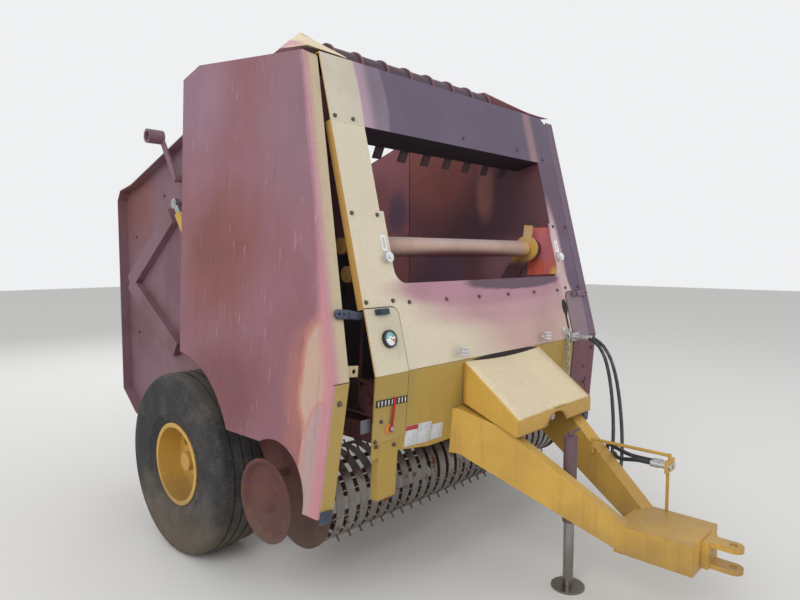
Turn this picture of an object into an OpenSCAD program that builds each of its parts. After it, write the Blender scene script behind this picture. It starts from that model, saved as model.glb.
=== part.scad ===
// Round baler, parked on its two wheels and its tongue jack.
// X runs across the machine, Y rearwards and Z up. The machine's right side is at minus X.
// Places are measured from the bend line of the front sheet, at ground level,
// and from_bend_line() moves them to the frame whose origin is under the machine's middle.

/* [Chamber] */
// Half width over the chamber walls
wall_x = 800; // [700:1:850]
// Thickness of a chamber wall
wall_t = 20; // [12:1:30]
// Height of the front sheet's bend line above the ground
bend_z = 1100; // [1050:1:1150]
// Lean of the front sheet above the bend, in degrees
lean = 14; // [10:1:18]
// Lean of the lower front under the bend, in degrees
tuck = 4.5; // [2:0.5:6]
// Length of the front slope from the bend to the top of the header
slope_len = 1474; // [1440:1:1520]
// Thickness of the front sheets
sheet = 5; // [3:1:8]
// Height of the highest point of the walls
peak_z = 2740; // [2700:1:2800]
// Rear edge of the main walls
split_y = 1410; // [1380:1:1440]

/* [Front] */
// Half width of the front sheet over its wings
wing_x = 975; // [960:1:978]
// Lower edge of the window, up the slope
window_v = 400; // [360:1:440]
// Half width of the window
window_x = 770; // [700:1:775]
// Lower edge of the header, up the slope
header_v = 1150; // [1100:1:1200]
// Depth of the header
header_depth = 170; // [120:1:200]
// Height of the control and access panels above the bend, up the slope
panel_v = 294; // [240:1:340]

/* [Wheels] */
// Radius of a tyre
tyre_r = 490; // [440:1:500]
// Width of a tyre
tyre_w = 340; // [280:1:345]
// Room for a lift cylinder between a wall and a tyre
cylinder_bay = 120; // [116:1:130]
// Distance of the axle behind the bend line
axle_y = 1280; // [1240:1:1300]
// Radius of a wheel spindle
spindle_r = 35; // [25:1:45]

/* [Doors] */
// Outer face of a closed door
door_x = 1070; // [1060:1:1100]
// Thickness of a door
door_t = 6; // [3:1:10]
// Rise of a door's hinge line towards the rear, in degrees
hinge_pitch = 7.1; // [5:0.1:9]
// How far the right door hangs open, in degrees
right_swing = 5.9; // [0:0.1:8]
// Radius of a door's wheel arch
arch_r = 610; // [560:1:640]

/* [Tailgate] */
// Rear face of the tailgate
rear_y = 2830; // [2780:1:2900]
// Width of the tailgate's edge flanges
flange_w = 66; // [40:1:70]

/* [Pickup] */
// Radius at the tips of the pickup's tines
tine_tip_r = 240; // [200:1:245]
// Half width of the pickup's reel
reel_x = 1000; // [900:1:1010]
// Number of stripper bands across the pickup
band_count = 27; // [15:2:29]
// Radius of a gauge wheel
gauge_r = 185; // [150:1:195]

/* [Tongue] */
// Distance of the hitch pin ahead of the bend line
hitch_y = 1150; // [1100:1:1200]
// Width of a tongue beam
beam_w = 75; // [60:1:90]
// Radius of the hitch pin hole
hitch_r = 16; // [12:1:18]
// Radius of the jack's leg
leg_r = 25; // [20:1:27]

/* [Hidden] */
$fn = 48;

// Running clearance between a shaft and its bore, and between pieces that only seat
fit = 0.05;
seat = 0.3;
// Least gap between pieces that move past each other
clear = 5;

hitch_front = hitch_y + 40;
mid_y = (rear_y - hitch_front) / 2;
wall_in = wall_x - wall_t;
// Half distance between the wheels' middles, and the plane of the lift cylinders
track_x = wall_x + cylinder_bay + tyre_w / 2;
cylinder_x = wall_x + cylinder_bay / 2;

// Colours of the paint, the fire-scorched paint and the bare metal
ochre = [0.67, 0.57, 0.29];
golden = [0.80, 0.65, 0.29];
cream = [0.83, 0.78, 0.65];
mauve = [0.53, 0.35, 0.37];
purple_brown = [0.43, 0.37, 0.45];
dark_rust = [0.35, 0.22, 0.24];
zinc = [0.78, 0.80, 0.82];
black = [0.10, 0.10, 0.11];

// Frames

module from_bend_line() {
    translate([0, -mid_y, 0])
        children();
}

module both_sides() {
    children();
    mirror([1, 0, 0])
        children();
}

// Turns a shape drawn in y and z into a plate whose outer face is at minus x
module side_plate(x, t) {
    translate([-x, 0, 0])
        rotate([90, 0, 90])
            linear_extrude(t)
                children();
}

// Turns a shape drawn in x and height into a plate that starts depth n behind y = 0
module front_plate(n, t) {
    translate([0, n + t, 0])
        rotate([90, 0, 0])
            linear_extrude(t)
                children();
}

module on_slope() {
    translate([0, 0, bend_z])
        rotate([-lean, 0, 0])
            children();
}

// Height under the bend is negative here
module on_tuck() {
    translate([0, 0, bend_z])
        rotate([tuck, 0, 0])
            children();
}

// Cuts a shape off just ahead of the lower front
module ahead_of_front() {
    difference() {
        children();
        on_tuck()
            translate([-wing_x, -seat, -bend_z])
                cube([2 * wing_x, 400, 2 * bend_z]);
    }
}

// Cylinder along X from x0 to x1
module bar_x(x0, x1, r, y, z) {
    translate([x0, y, z])
        rotate([0, 90, 0])
            cylinder(r = r, h = x1 - x0);
}

// Revolves a shape drawn in radius and x about a line along X
module turned_x(y, z) {
    translate([0, y, z])
        rotate([0, 90, 0])
            rotate_extrude()
                children();
}

// Points up the slope and under the bend, v or d away from it and n behind the face
function on_slope_at(v, n = 0) =
    [v * sin(lean) + n * cos(lean), bend_z + v * cos(lean) - n * sin(lean)];
function on_tuck_at(d, n = 0) =
    [d * sin(tuck) + n * cos(tuck), bend_z - d * cos(tuck) + n * sin(tuck)];

// Outline moved inwards by d, for points listed counter-clockwise
function left_of(a, b) = let (e = (b - a) / norm(b - a)) [-e[1], e[0]];
function inset(p, d) = [
    for (i = [0:len(p) - 1])
        let (
            before = left_of(p[(i + len(p) - 1) % len(p)], p[i]),
            after = left_of(p[i], p[(i + 1) % len(p)])
        )
        p[i] + d * (before + after) / (1 + before * after)
];

// Smooth points along a route, steps to a span
function bent(a, b, c, d, t) =
    0.5 * (2 * b + (c - a) * t + (2 * a - 5 * b + 4 * c - d) * t * t + (3 * b - a - 3 * c + d) * t * t * t);
function smooth(p, steps) = concat(
    [
        for (i = [0:len(p) - 2])
            for (k = [0:steps - 1])
                bent(p[max(i - 1, 0)], p[i], p[i + 1], p[min(i + 2, len(p) - 1)], k / steps)
    ],
    [p[len(p) - 1]]
);

// Round tube swept along a route of points, with its ends closed
module swept_tube(route, r, sides) {
    last = len(route) - 1;
    rings = [
        for (i = [0:last])
            let (
                ahead = route[min(i + 1, last)] - route[max(i - 1, 0)],
                dir = ahead / norm(ahead),
                across = cross(dir, [0.31, 0.17, 0.93]),
                u = across / norm(across),
                w = cross(dir, u)
            )
            for (k = [0:sides - 1])
                route[i] + r * (u * cos(360 * k / sides) + w * sin(360 * k / sides))
    ];
    walls = [
        for (i = [0:last - 1])
            for (k = [0:sides - 1])
                [i * sides + k, i * sides + (k + 1) % sides,
                    (i + 1) * sides + (k + 1) % sides, (i + 1) * sides + k]
    ];
    first_end = [for (k = [sides - 1:-1:0]) k];
    last_end = [for (k = [0:sides - 1]) last * sides + k];
    polyhedron(rings, concat(walls, [first_end], [last_end]), convexity = 6);
}

// Thin plate between four corners, t thick downwards
module draped_plate(a, b, c, d, t) {
    down = [0, 0, -t];
    polyhedron(
        [a, b, c, d, a + down, b + down, c + down, d + down],
        [[0, 2, 1], [0, 3, 2], [4, 5, 6], [4, 6, 7],
            [0, 1, 5], [0, 5, 4], [1, 2, 6], [1, 6, 5], [2, 3, 7], [2, 7, 6], [3, 0, 4], [3, 4, 7]]
    );
}

module rounded_square(w, h, r) {
    union() {
        translate([-w / 2 + r, -h / 2])
            square([w - 2 * r, h]);
        translate([-w / 2, -h / 2 + r])
            square([w, h - 2 * r]);
        for (sx = [-1, 1], sy = [-1, 1])
            translate([sx * (w / 2 - r), sy * (h / 2 - r)])
                circle(r);
    }
}

// Chamber walls

peak_y = 720;
wall_drop = 160;
tailgate_pin = [split_y + 10, peak_z - wall_drop - 80];
tailgate_pin_r = 20;
hinge_boss_r = 45;
belly_z = 600;
inlet_z = 760;

// Cross bar that the pickup swings on, held in a lug of each wall
pivot_y = 740;
pivot_z = 715;
pivot_r = 28;

main_wall = [
    on_tuck_at(bend_z - inlet_z, sheet + 3),
    [pivot_y, inlet_z],
    [pivot_y + 60, belly_z],
    [split_y, belly_z],
    [split_y, peak_z - wall_drop],
    [peak_y, peak_z],
    on_slope_at(slope_len, sheet + 1),
    [sheet * 1.2, bend_z]
];

// Places of what turns in the chamber
tension_y = 300;
tension_z = 1660;
tension_r = 50;
top_roller_y = peak_y - 46;
top_roller_z = peak_z - 120;
barrel_pin_y = 1220;
barrel_pin_z = 950;
cylinder_pin_r = 15;
tension_boss_r = 48;
tension_shaft_r = 28;
// Plate inside each wall that carries the tension shaft, and a housing outside under it
bearing_t = 8;
bearing_plate = [[116, 1500], [345, 1486], [345, 1797], [190, 1797]];
bearing_ring_r = 62;
housing_y = 266;
housing_z = 1530;
housing_r = 38;
housing_reach = 100;

module chamber_wall() {
    difference() {
        union() {
            side_plate(wall_in, bearing_t)
                polygon(bearing_plate);
            bar_x(-wall_in, -wall_in + 3 * bearing_t, bearing_ring_r, tension_y, tension_z);
            bar_x(-wall_x - housing_reach, -wall_x, housing_r, housing_y, housing_z);
            bar_x(-wall_x - housing_reach - 6, -wall_x, housing_r / 2, housing_y, housing_z);
            side_plate(wall_x, wall_t)
                polygon(main_wall);
            side_plate(wall_x, wall_t)
                translate(tailgate_pin)
                    circle(hinge_boss_r);
            side_plate(wall_x, wall_t)
                translate([pivot_y, pivot_z])
                    circle(2 * pivot_r);
            bar_x(-wall_x - 5 - 2 * wall_t, -wall_in, tailgate_pin_r, tailgate_pin[0], tailgate_pin[1]);
            bar_x(-cylinder_x - 30, -wall_x, cylinder_pin_r, barrel_pin_y, barrel_pin_z);
            bar_x(-wall_x - 10, -wall_x, cylinder_pin_r + 30, barrel_pin_y, barrel_pin_z);
        }
        bar_x(-wall_x - 1, -wall_in + 4 * bearing_t, tension_shaft_r + fit, tension_y, tension_z);
        bar_x(-wall_x - 1, -wall_in + 1, pivot_r + fit, pivot_y, pivot_z);
    }
}

module wall_right() {
    color(mauve)
        from_bend_line()
            chamber_wall();
}

module wall_left() {
    color(mauve)
        from_bend_line()
            mirror([1, 0, 0])
                chamber_wall();
}

// Front of the machine

header_chamfer = [60, 45];

module header() {
    depth = header_depth;
    color(purple_brown)
        from_bend_line()
            on_slope()
                difference() {
                    union() {
                        front_plate(0, sheet)
                            polygon([[-wing_x, header_v], [wing_x, header_v],
                                [wing_x, slope_len - header_chamfer[1]],
                                [wing_x - header_chamfer[0], slope_len], [-wing_x, slope_len]]);
                        translate([-wing_x, 0, header_v])
                            cube([2 * wing_x, depth, sheet]);
                        translate([-wing_x, depth - sheet, header_v])
                            cube([2 * wing_x, sheet, 40]);
                        translate([-wing_x, 0, slope_len - sheet])
                            cube([2 * wing_x - header_chamfer[0], depth, sheet]);
                    }
                    both_sides()
                        translate([-wall_x - seat, sheet, header_v - 1])
                            cube([wall_t + 2 * seat, depth, slope_len]);
                }
}

window_corner_r = 70;
window_step_v = 743;
window_step = 25;
wing_return = 40;

keyhole_x = 741;
keyhole_v = 207;
keyhole_r = 14;

module front_sheet() {
    low_x = window_x - window_step;
    color(cream)
        from_bend_line()
            on_slope()
                union() {
                    front_plate(0, sheet)
                        difference() {
                            translate([-wing_x, 2])
                                square([2 * wing_x, header_v - seat - 2]);
                            translate([-window_x, window_step_v])
                                square([2 * window_x, header_v - window_step_v]);
                            translate([0, (window_v + window_step_v + 100) / 2])
                                rounded_square(2 * low_x, window_step_v + 100 - window_v, window_corner_r);
                            translate([keyhole_x, keyhole_v])
                                circle(keyhole_r);
                            translate([keyhole_x - keyhole_r / 2, keyhole_v - 60])
                                square([keyhole_r, 60]);
                        }
                    both_sides()
                        translate([-wing_x, 0, panel_v])
                            cube([sheet, wing_return, header_v - seat - panel_v]);
                }
}

leg_in = 810;
leg_out = 930;
leg_bottom = 530;
skirt_d = 390;

module lower_front() {
    leg_d = bend_z - leg_bottom;
    color(ochre)
        from_bend_line()
            on_tuck()
                union() {
                    front_plate(0, sheet)
                        polygon([[-wing_x, 0], [-wing_x, -skirt_d + 20], [-leg_out, -skirt_d + 20],
                            [-leg_out, -leg_d], [-leg_in, -leg_d], [-leg_in, -skirt_d + 30],
                            [-wall_x + 200, -skirt_d], [wall_x - 200, -skirt_d],
                            [leg_in, -skirt_d + 30], [leg_in, -leg_d], [leg_out, -leg_d],
                            [leg_out, -skirt_d + 20], [wing_x, -skirt_d + 20], [wing_x, 0]]);
                    both_sides()
                        for (x = [-leg_out, -leg_in - sheet])
                            translate([x, 0, -leg_d])
                                cube([sheet, 40, leg_d - 10]);
                }
}

panel_t = 4;
panel_in = 770;
panel_d = 300;
panel_corner = 40;

module access_panels() {
    w = wing_x - panel_in;
    color(cream)
        from_bend_line()
            both_sides()
                union() {
                    on_slope()
                        front_plate(-panel_t, panel_t)
                            difference() {
                                translate([-wing_x, -0.7])
                                    square([w, panel_v]);
                                translate([-panel_in - panel_corner, panel_v - panel_corner])
                                    difference() {
                                        square(2 * panel_corner);
                                        circle(panel_corner - 0.7);
                                    }
                            }
                    on_tuck()
                        front_plate(-panel_t, panel_t)
                            translate([-wing_x, -panel_d])
                                square([w, panel_d]);
                }
}

// Shoulder covers from the wall tops out over the doors: y, inner height, outer height
shoulder_x = 1035;
shoulder_t = 4;
header_top = on_slope_at(slope_len);
door_front_y = round(header_top[0]) - 3;
door_hinge_x = 1040;
door_hinge_z = round(header_top[1]) - 25;
function hinge_z_at(y) = door_hinge_z + (y - door_front_y) * tan(hinge_pitch);
function wall_top_at(y) = peak_z - wall_drop * (y - peak_y) / (split_y - peak_y);
shoulder_front_y = header_top[0] + 8;
shoulder_rear_y = split_y - 170;
shoulder_rise = 42;
shoulder_rows = [
    [shoulder_front_y, header_top[1] + 2 * shoulder_t, hinge_z_at(shoulder_front_y) + shoulder_rise],
    [peak_y, peak_z, hinge_z_at(peak_y) + shoulder_rise],
    [shoulder_rear_y, wall_top_at(shoulder_rear_y), hinge_z_at(shoulder_rear_y) + shoulder_rise]
];

module shoulder_covers() {
    color(cream)
        from_bend_line()
            both_sides()
                union()
                    for (i = [0:1]) {
                        a = shoulder_rows[i];
                        b = shoulder_rows[i + 1];
                        draped_plate([-wall_x - seat, a[0], a[1]], [-wall_x - seat, b[0], b[1]],
                            [-shoulder_x, b[0], b[2]], [-shoulder_x, a[0], a[2]], shoulder_t);
                    }
}

// Frame and axle

rail_w = 66;
rail_h = 90;
rail_front_y = 95;
beam_h = 110;
saddle_y = 80;
// Cross bars between the walls: y, z, depth, height
rail_bar_rows = [
    [50, inlet_z, 80, 80],
    [1180, belly_z, 70, 50]
];

module frame_rails() {
    color(dark_rust)
        from_bend_line() {
            both_sides() {
                difference() {
                    translate([-wall_x - rail_w, rail_front_y, inlet_z])
                        cube([rail_w, split_y - rail_front_y, rail_h]);
                    translate([-wall_x - rail_w + 6, rail_front_y - 1, inlet_z + 6])
                        cube([rail_w - 12, split_y - rail_front_y + 2, rail_h - 12]);
                }
                translate([-wall_x - rail_w, axle_y - saddle_y, axle_top()])
                    cube([wall_t + rail_w, 2 * saddle_y, belly_z - axle_top()]);
            }
            for (row = rail_bar_rows)
                translate([-wall_in, row[0], row[1]])
                    cube([2 * wall_in, row[2], row[3]]);
        }
}

function axle_top() = tyre_r + beam_h / 2;

hub_in = track_x - 105;
hub_out = track_x + 65;

module axle() {
    color(dark_rust)
        from_bend_line()
            union() {
                translate([-wall_x - rail_w, axle_y - beam_h / 2, tyre_r - beam_h / 2])
                    cube([2 * (wall_x + rail_w), beam_h, beam_h]);
                both_sides() {
                    bar_x(-hub_in + 2, -wall_x, spindle_r + 15, axle_y, tyre_r);
                    bar_x(-hub_out - 12, -wall_x, spindle_r, axle_y, tyre_r);
                }
            }
}

// Rollers: y, z, radius
roller_x = wall_in - 12;
roller_shaft_r = 22;
fixed_rollers = [
    [160, 960, 80],
    [165, 1400, 60],
    [660, 870, 90],
    [1060, 720, 90]
];
tailgate_roller_rows = [
    [1540, 690, 60],
    [rear_y - 130, 620, 60],
    [rear_y - 120, 1950, 60],
    [2060, 2190, 60]
];

module roller(row) {
    bar_x(-roller_x, roller_x, row[2], row[0], row[1]);
    bar_x(-wall_in, wall_in, roller_shaft_r, row[0], row[1]);
}

module chamber_rollers() {
    color(dark_rust)
        from_bend_line()
            for (row = fixed_rollers)
                roller(row);
}

ring_r = 86;
ring_w = 12;
ring_pitch = 193;

module top_roller() {
    color(purple_brown)
        from_bend_line()
            union() {
                bar_x(-690, 690, 75, top_roller_y, top_roller_z);
                bar_x(-wall_in, wall_in, roller_shaft_r, top_roller_y, top_roller_z);
                for (i = [-3.5:1:3.5])
                    bar_x(i * ring_pitch - ring_w / 2, i * ring_pitch + ring_w / 2, ring_r,
                        top_roller_y, top_roller_z);
            }
}

guide_bar_y = 454;
guide_bar_z = 2215;
finger_pitch = 190;
finger_w = 60;

module guide_bar() {
    color(dark_rust)
        from_bend_line()
            union() {
                translate([-wall_in, guide_bar_y - 25, guide_bar_z])
                    cube([2 * wall_in, 50, 40]);
                for (i = [-3.5:1:3.5])
                    translate([i * finger_pitch - finger_w / 2, guide_bar_y, guide_bar_z + 10])
                        rotate([25, 0, 0])
                            translate([0, -4, -110])
                                cube([finger_w, 8, 112]);
            }
}

// Tongue and what it carries. A beam's outline is drawn in distance along it and height.

beam_rear_x = 380;
beam_front_x = 120;
beam_front_y = 740;
beam_turn = atan((beam_rear_x - beam_front_x) / beam_front_y);
beam_len = norm([beam_rear_x - beam_front_x, beam_front_y]);
beam_outline = [
    [-beam_len, 280], [-240, 530], [0, 640], [100, 640], [100, 865], [0, 865], [-230, 790], [-beam_len, 410]
];
nose_z = 280;
nose_h = 130;
// Distance from the hitch pin to the nose's front face
nose_back = 110;

// Local Y runs along the right beam's middle and local X across it, inwards
module beside_beam() {
    translate([-beam_rear_x, 0, 0])
        rotate([0, 0, beam_turn])
            children();
}

module tongue_beam() {
    beside_beam()
        translate([-beam_w / 2, 0, 0])
            rotate([90, 0, 90])
                linear_extrude(beam_w)
                    polygon(beam_outline);
}

module tongue() {
    nose_x = beam_front_x + beam_w / 2;
    color(golden)
        from_bend_line()
            ahead_of_front()
                union() {
                    both_sides()
                        tongue_beam();
                    translate([-nose_x, -hitch_y + nose_back, nose_z])
                        cube([2 * nose_x, hitch_y - nose_back - beam_front_y + 40, nose_h]);
                }
}

ear_t = 22;
ear_gap = 70;
ear_r = 40;
ear_len = 80;
ear_z = nose_z + nose_h / 2 - ear_gap / 2 - ear_t;

module hitch() {
    color(golden)
        from_bend_line()
            difference() {
                union() {
                    for (z = [ear_z, ear_z + ear_t + ear_gap]) {
                        translate([0, -hitch_y, z])
                            cylinder(r = ear_r, h = ear_t);
                        translate([-ear_r, -hitch_y, z])
                            cube([2 * ear_r, ear_len, ear_t]);
                    }
                    translate([-60, -hitch_y + ear_len, ear_z])
                        cube([120, nose_back - ear_len - seat, ear_gap + 2 * ear_t]);
                }
                translate([0, -hitch_y, 0])
                    cylinder(r = hitch_r, h = bend_z);
            }
}

cover_x = 360;
cover_front_y = 320;
cover_front_z = 845;
cover_rear_y = -4;
cover_t = 4;
lip_h = 75;
skirt_rear_z = 882;
arc_r = 110;

module tongue_cover() {
    rise = bend_z - 8 - cover_front_z;
    len = norm([cover_front_y - cover_rear_y, rise]);
    pitch = atan(rise / (cover_front_y - cover_rear_y));
    color(cream)
        from_bend_line()
            ahead_of_front()
                union() {
                    translate([-cover_x, -cover_rear_y, bend_z - 8])
                        rotate([180 + pitch, 0, 0])
                            cube([2 * cover_x, len, cover_t]);
                    both_sides()
                        side_plate(cover_x, cover_t)
                            polygon([[-cover_front_y, cover_front_z],
                                [-cover_front_y, cover_front_z - lip_h],
                                [-cover_front_y + 20, cover_front_z - lip_h - 3],
                                [-cover_rear_y, skirt_rear_z], [-cover_rear_y, bend_z - 9]]);
                    translate([0, -cover_front_y, 0])
                        front_plate(0, cover_t)
                            difference() {
                                translate([-cover_x, cover_front_z - lip_h])
                                    square([2 * cover_x, lip_h - 1]);
                                translate([0, cover_front_z - lip_h - 50])
                                    circle(arc_r);
                            }
                }
}

gearbox_y = 180;
gearbox_z = 800;
box_half = 90;
box_h = 170;
journal_r = 20;
journal_len = 115;
input_r = 17.5;
input_len = 80;

module gearbox() {
    color(dark_rust)
        from_bend_line()
            ahead_of_front()
                difference() {
                    union() {
                        translate([-box_half, -gearbox_y, gearbox_z - box_half])
                            cube([2 * box_half, gearbox_y + 60, box_h]);
                        translate([0, -gearbox_y, gearbox_z])
                            rotate([90, 0, 0])
                                cylinder(r = 55, h = 30);
                        for (x = [-beam_rear_x + 70, box_half])
                            translate([x, -gearbox_y + 60, gearbox_z - 80])
                                cube([beam_rear_x - 70 - box_half, 60, 20]);
                    }
                    translate([0, -gearbox_y + 80, gearbox_z])
                        rotate([90, 0, 0])
                            cylinder(r = journal_r + fit, h = journal_len + box_half);
                    both_sides()
                        beside_beam()
                            translate([-beam_rear_x, -bend_z, 0])
                                cube([beam_rear_x + beam_w / 2 + seat, 2 * bend_z, 2 * bend_z]);
                }
}

module input_shaft() {
    color(zinc)
        from_bend_line()
            union() {
                translate([0, -gearbox_y + 79, gearbox_z])
                    rotate([90, 0, 0])
                        cylinder(r = journal_r, h = journal_len);
                translate([0, -gearbox_y + 79 - journal_len, gearbox_z])
                    rotate([90, 0, 0])
                        cylinder(r = input_r, h = input_len);
            }
}

// Rod over the hoses: where it starts and ends, and the board at its front with its post
holder_x = 168;
holder_rod_r = 8;
holder_z = 672;
holder_y = [430, 820];
board_w = 100;
board_h = 56;
board_z = 596;
holder_post_x = 140;
holder_post = 12;

module hose_holder() {
    color(golden)
        from_bend_line()
            union() {
                translate([holder_x, -holder_y[0], holder_z])
                    rotate([90, 0, 0])
                        cylinder(r = holder_rod_r, h = holder_y[1] - holder_y[0]);
                translate([holder_x, -holder_y[0], board_z + 4])
                    cylinder(r = holder_rod_r, h = holder_z - board_z + 4);
                translate([holder_x, -holder_y[1], board_z + board_h - 7])
                    cylinder(r = holder_rod_r, h = holder_z - board_z - board_h + 15);
                difference() {
                    translate([holder_x - board_w / 2, -holder_y[1] - 6, board_z])
                        cube([board_w, holder_post, board_h]);
                    for (x = coupler_xs)
                        translate([x, 0, coupler_z])
                            rotate([90, 0, 0])
                                cylinder(r = coupler_r + seat, h = holder_y[1] + holder_post);
                }
                translate([holder_post_x, -holder_y[1] - 6, nose_z + nose_h + seat])
                    cube([holder_post, holder_post, board_z - nose_z - nose_h - seat]);
            }
}

jack_in = 73;
jack_along = 516;
jack_x = (beam_w / 2 + jack_in) * cos(beam_turn) + jack_along * sin(beam_turn) - beam_rear_x;
jack_y = (beam_w / 2 + jack_in) * sin(beam_turn) - jack_along * cos(beam_turn);
jack_tube_r = 32;
jack_tube_bottom = 330;
jack_tube_top = 750;
jack_overlap = 95;
jack_bracket_z = 440;
jack_foot_r = 80;
handle_len = 110;

module jack_tube() {
    color(purple_brown)
        from_bend_line()
            union() {
                difference() {
                    translate([jack_x, jack_y, jack_tube_bottom])
                        cylinder(r = jack_tube_r, h = jack_tube_top - jack_tube_bottom);
                    translate([jack_x, jack_y, jack_tube_bottom - 1])
                        cylinder(r = leg_r + fit, h = jack_tube_top - jack_tube_bottom - 14);
                }
                beside_beam()
                    translate([beam_w / 2 + seat, -jack_along - 30, jack_bracket_z])
                        cube([jack_in - leg_r - 3, 60, 120]);
                translate([jack_x, jack_y, jack_tube_top])
                    cylinder(r = 12, h = 18);
                translate([jack_x - 6, jack_y, jack_tube_top + 10])
                    cube([handle_len, 12, 8]);
            }
}

module jack_leg() {
    color(zinc)
        from_bend_line()
            union() {
                translate([jack_x, jack_y, 5])
                    cylinder(r = leg_r, h = jack_tube_bottom + jack_overlap);
                translate([jack_x, jack_y, 0])
                    cylinder(r = jack_foot_r, h = 10);
            }
}

// Small things on the front

gauge_x = -862;
gauge_v = 153;

module gauge() {
    color(black)
        from_bend_line()
            on_slope()
                translate([gauge_x, -panel_t, gauge_v])
                    rotate([90, 0, 0])
                        union() {
                            cylinder(r = 40, h = 8);
                            cylinder(r = 36, h = 14);
                        }
}

scale_w = 180;
scale_h = 34;
scale_z = 990;
pointer_z = 863;
pointer_x = -891;

module bale_scale() {
    d = (bend_z - scale_z) / cos(tuck);
    p = (bend_z - pointer_z) / cos(tuck);
    color([0.7, 0.15, 0.12])
        from_bend_line()
            on_tuck()
                union() {
                    translate([7 - wing_x, -panel_t - 3, -d - scale_h / 2])
                        cube([scale_w, 3, scale_h]);
                    translate([pointer_x, -panel_t, -p])
                        rotate([90, 0, 0])
                            cylinder(r = 16, h = 10);
                    translate([pointer_x - 6, -panel_t - 6, -p])
                        cube([12, 4, p - d + 10]);
                }
}

spool_x = 400;
spool_y = 30;
spool_r = 24;
eyelet_x = wall_x - 17;
eyelet_v = 520;

module twine_guides() {
    color(zinc)
        from_bend_line()
            both_sides() {
                on_slope() {
                    translate([-eyelet_x, 0, eyelet_v])
                        rotate([90, 0, 0])
                            union() {
                                cylinder(r = 10, h = 36);
                                for (h = [6, 22])
                                    translate([0, 0, h])
                                        cylinder(r = spool_r, h = 5);
                            }
                    translate([-eyelet_x, 0, eyelet_v + 70])
                        front_plate(-4, 4)
                            difference() {
                                rounded_square(34, 80, 12);
                                rounded_square(14, 50, 6);
                            }
                }
                translate([-spool_x, -spool_y, bend_z + 30])
                    union() {
                        cylinder(r = 12, h = 44);
                        for (h = [4, 22, 38])
                            translate([0, 0, h])
                                cylinder(r = spool_r, h = 6);
                        translate([-10, 0, 10])
                            cube([20, spool_y + on_slope_at(40)[0] - seat, 12]);
                    }
            }
}

// Tow chain, hanging from its hook beside the keyhole in the front sheet
chain_x = 668;
chain_top_v = 60;
chain_y = -16;
link_r = 4;
link_w = 11;
link_flat = 8;
link_pitch = 2 * (link_w + link_flat - link_r) - seat;
link_count = 11;

function link_route() = [
    for (a = [0:30:330])
        [link_w * cos(a), 0, link_w * sin(a) + link_flat * sign(sin(a))]
];

// Closed ring of tube along a loop of points in the XZ plane
module ring_mesh(route, r, sides) {
    n = len(route);
    points = [
        for (i = [0:n - 1])
            let (
                ahead = route[(i + 1) % n] - route[(i + n - 1) % n],
                out = cross(ahead / norm(ahead), [0, 1, 0])
            )
            for (k = [0:sides - 1])
                route[i] + r * (out * cos(360 * k / sides) + [0, 1, 0] * sin(360 * k / sides))
    ];
    faces = [
        for (i = [0:n - 1])
            for (k = [0:sides - 1])
                let (next = (i + 1) % n, turn = (k + 1) % sides)
                [i * sides + k, i * sides + turn, next * sides + turn, next * sides + k]
    ];
    polyhedron(points, faces, convexity = 6);
}

hook_w = 10;
hook_h = 6;
hook_reach = 15;
hook_plate = 28;

module tow_chain() {
    top = on_slope_at(chain_top_v);
    link_top = top[1] + hook_h / 2 + seat + link_r - link_w - link_flat;
    color(zinc)
        from_bend_line() {
            for (i = [0:link_count - 1])
                translate([chain_x, chain_y, link_top - i * link_pitch])
                    rotate([0, 0, i % 2 * 90])
                        ring_mesh(link_route(), link_r, 5);
            union() {
                on_slope()
                    front_plate(-3, 3)
                        translate([chain_x - hook_plate / 2, chain_top_v - hook_plate / 2])
                            square(hook_plate);
                translate([chain_x - hook_w / 2, chain_y - hook_reach, top[1] - hook_h / 2])
                    cube([hook_w, top[0] - chain_y + hook_reach - 1.5, hook_h]);
                translate([chain_x - hook_w / 2, chain_y - hook_reach, top[1] - hook_h / 2])
                    cube([hook_w, 5, 16]);
            }
        }
}

// Drive chains on the right side, with toothed sprockets: y, z, teeth, x of the plane
sprocket_rows = [
    [160, 960, 23, 832],
    [165, 1400, 14, 832],
    [160, 960, 18, 858],
    [660, 1010, 27, 858]
];
chain_pitch = 25.4;
chain_roller_r = 7;
chain_waist = 4.5;
chain_w = 12;
sprocket_t = 6;
function pitch_r(row) = chain_pitch / 2 / sin(180 / row[2]);

// Plate with one tooth between two rollers of the chain
module sprocket(row) {
    r = pitch_r(row);
    step = 360 / row[2];
    side_plate(row[3] + sprocket_t / 2, sprocket_t)
        translate([row[0], row[1]])
            polygon([
                for (i = [0:row[2] - 1])
                    for (tooth = [[-0.5, -8], [-0.22, -8], [-0.07, 6], [0.07, 6], [0.22, -8]])
                        (r + tooth[1]) * [cos((i + tooth[0]) * step), sin((i + tooth[0]) * step)]
            ]);
}

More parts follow.
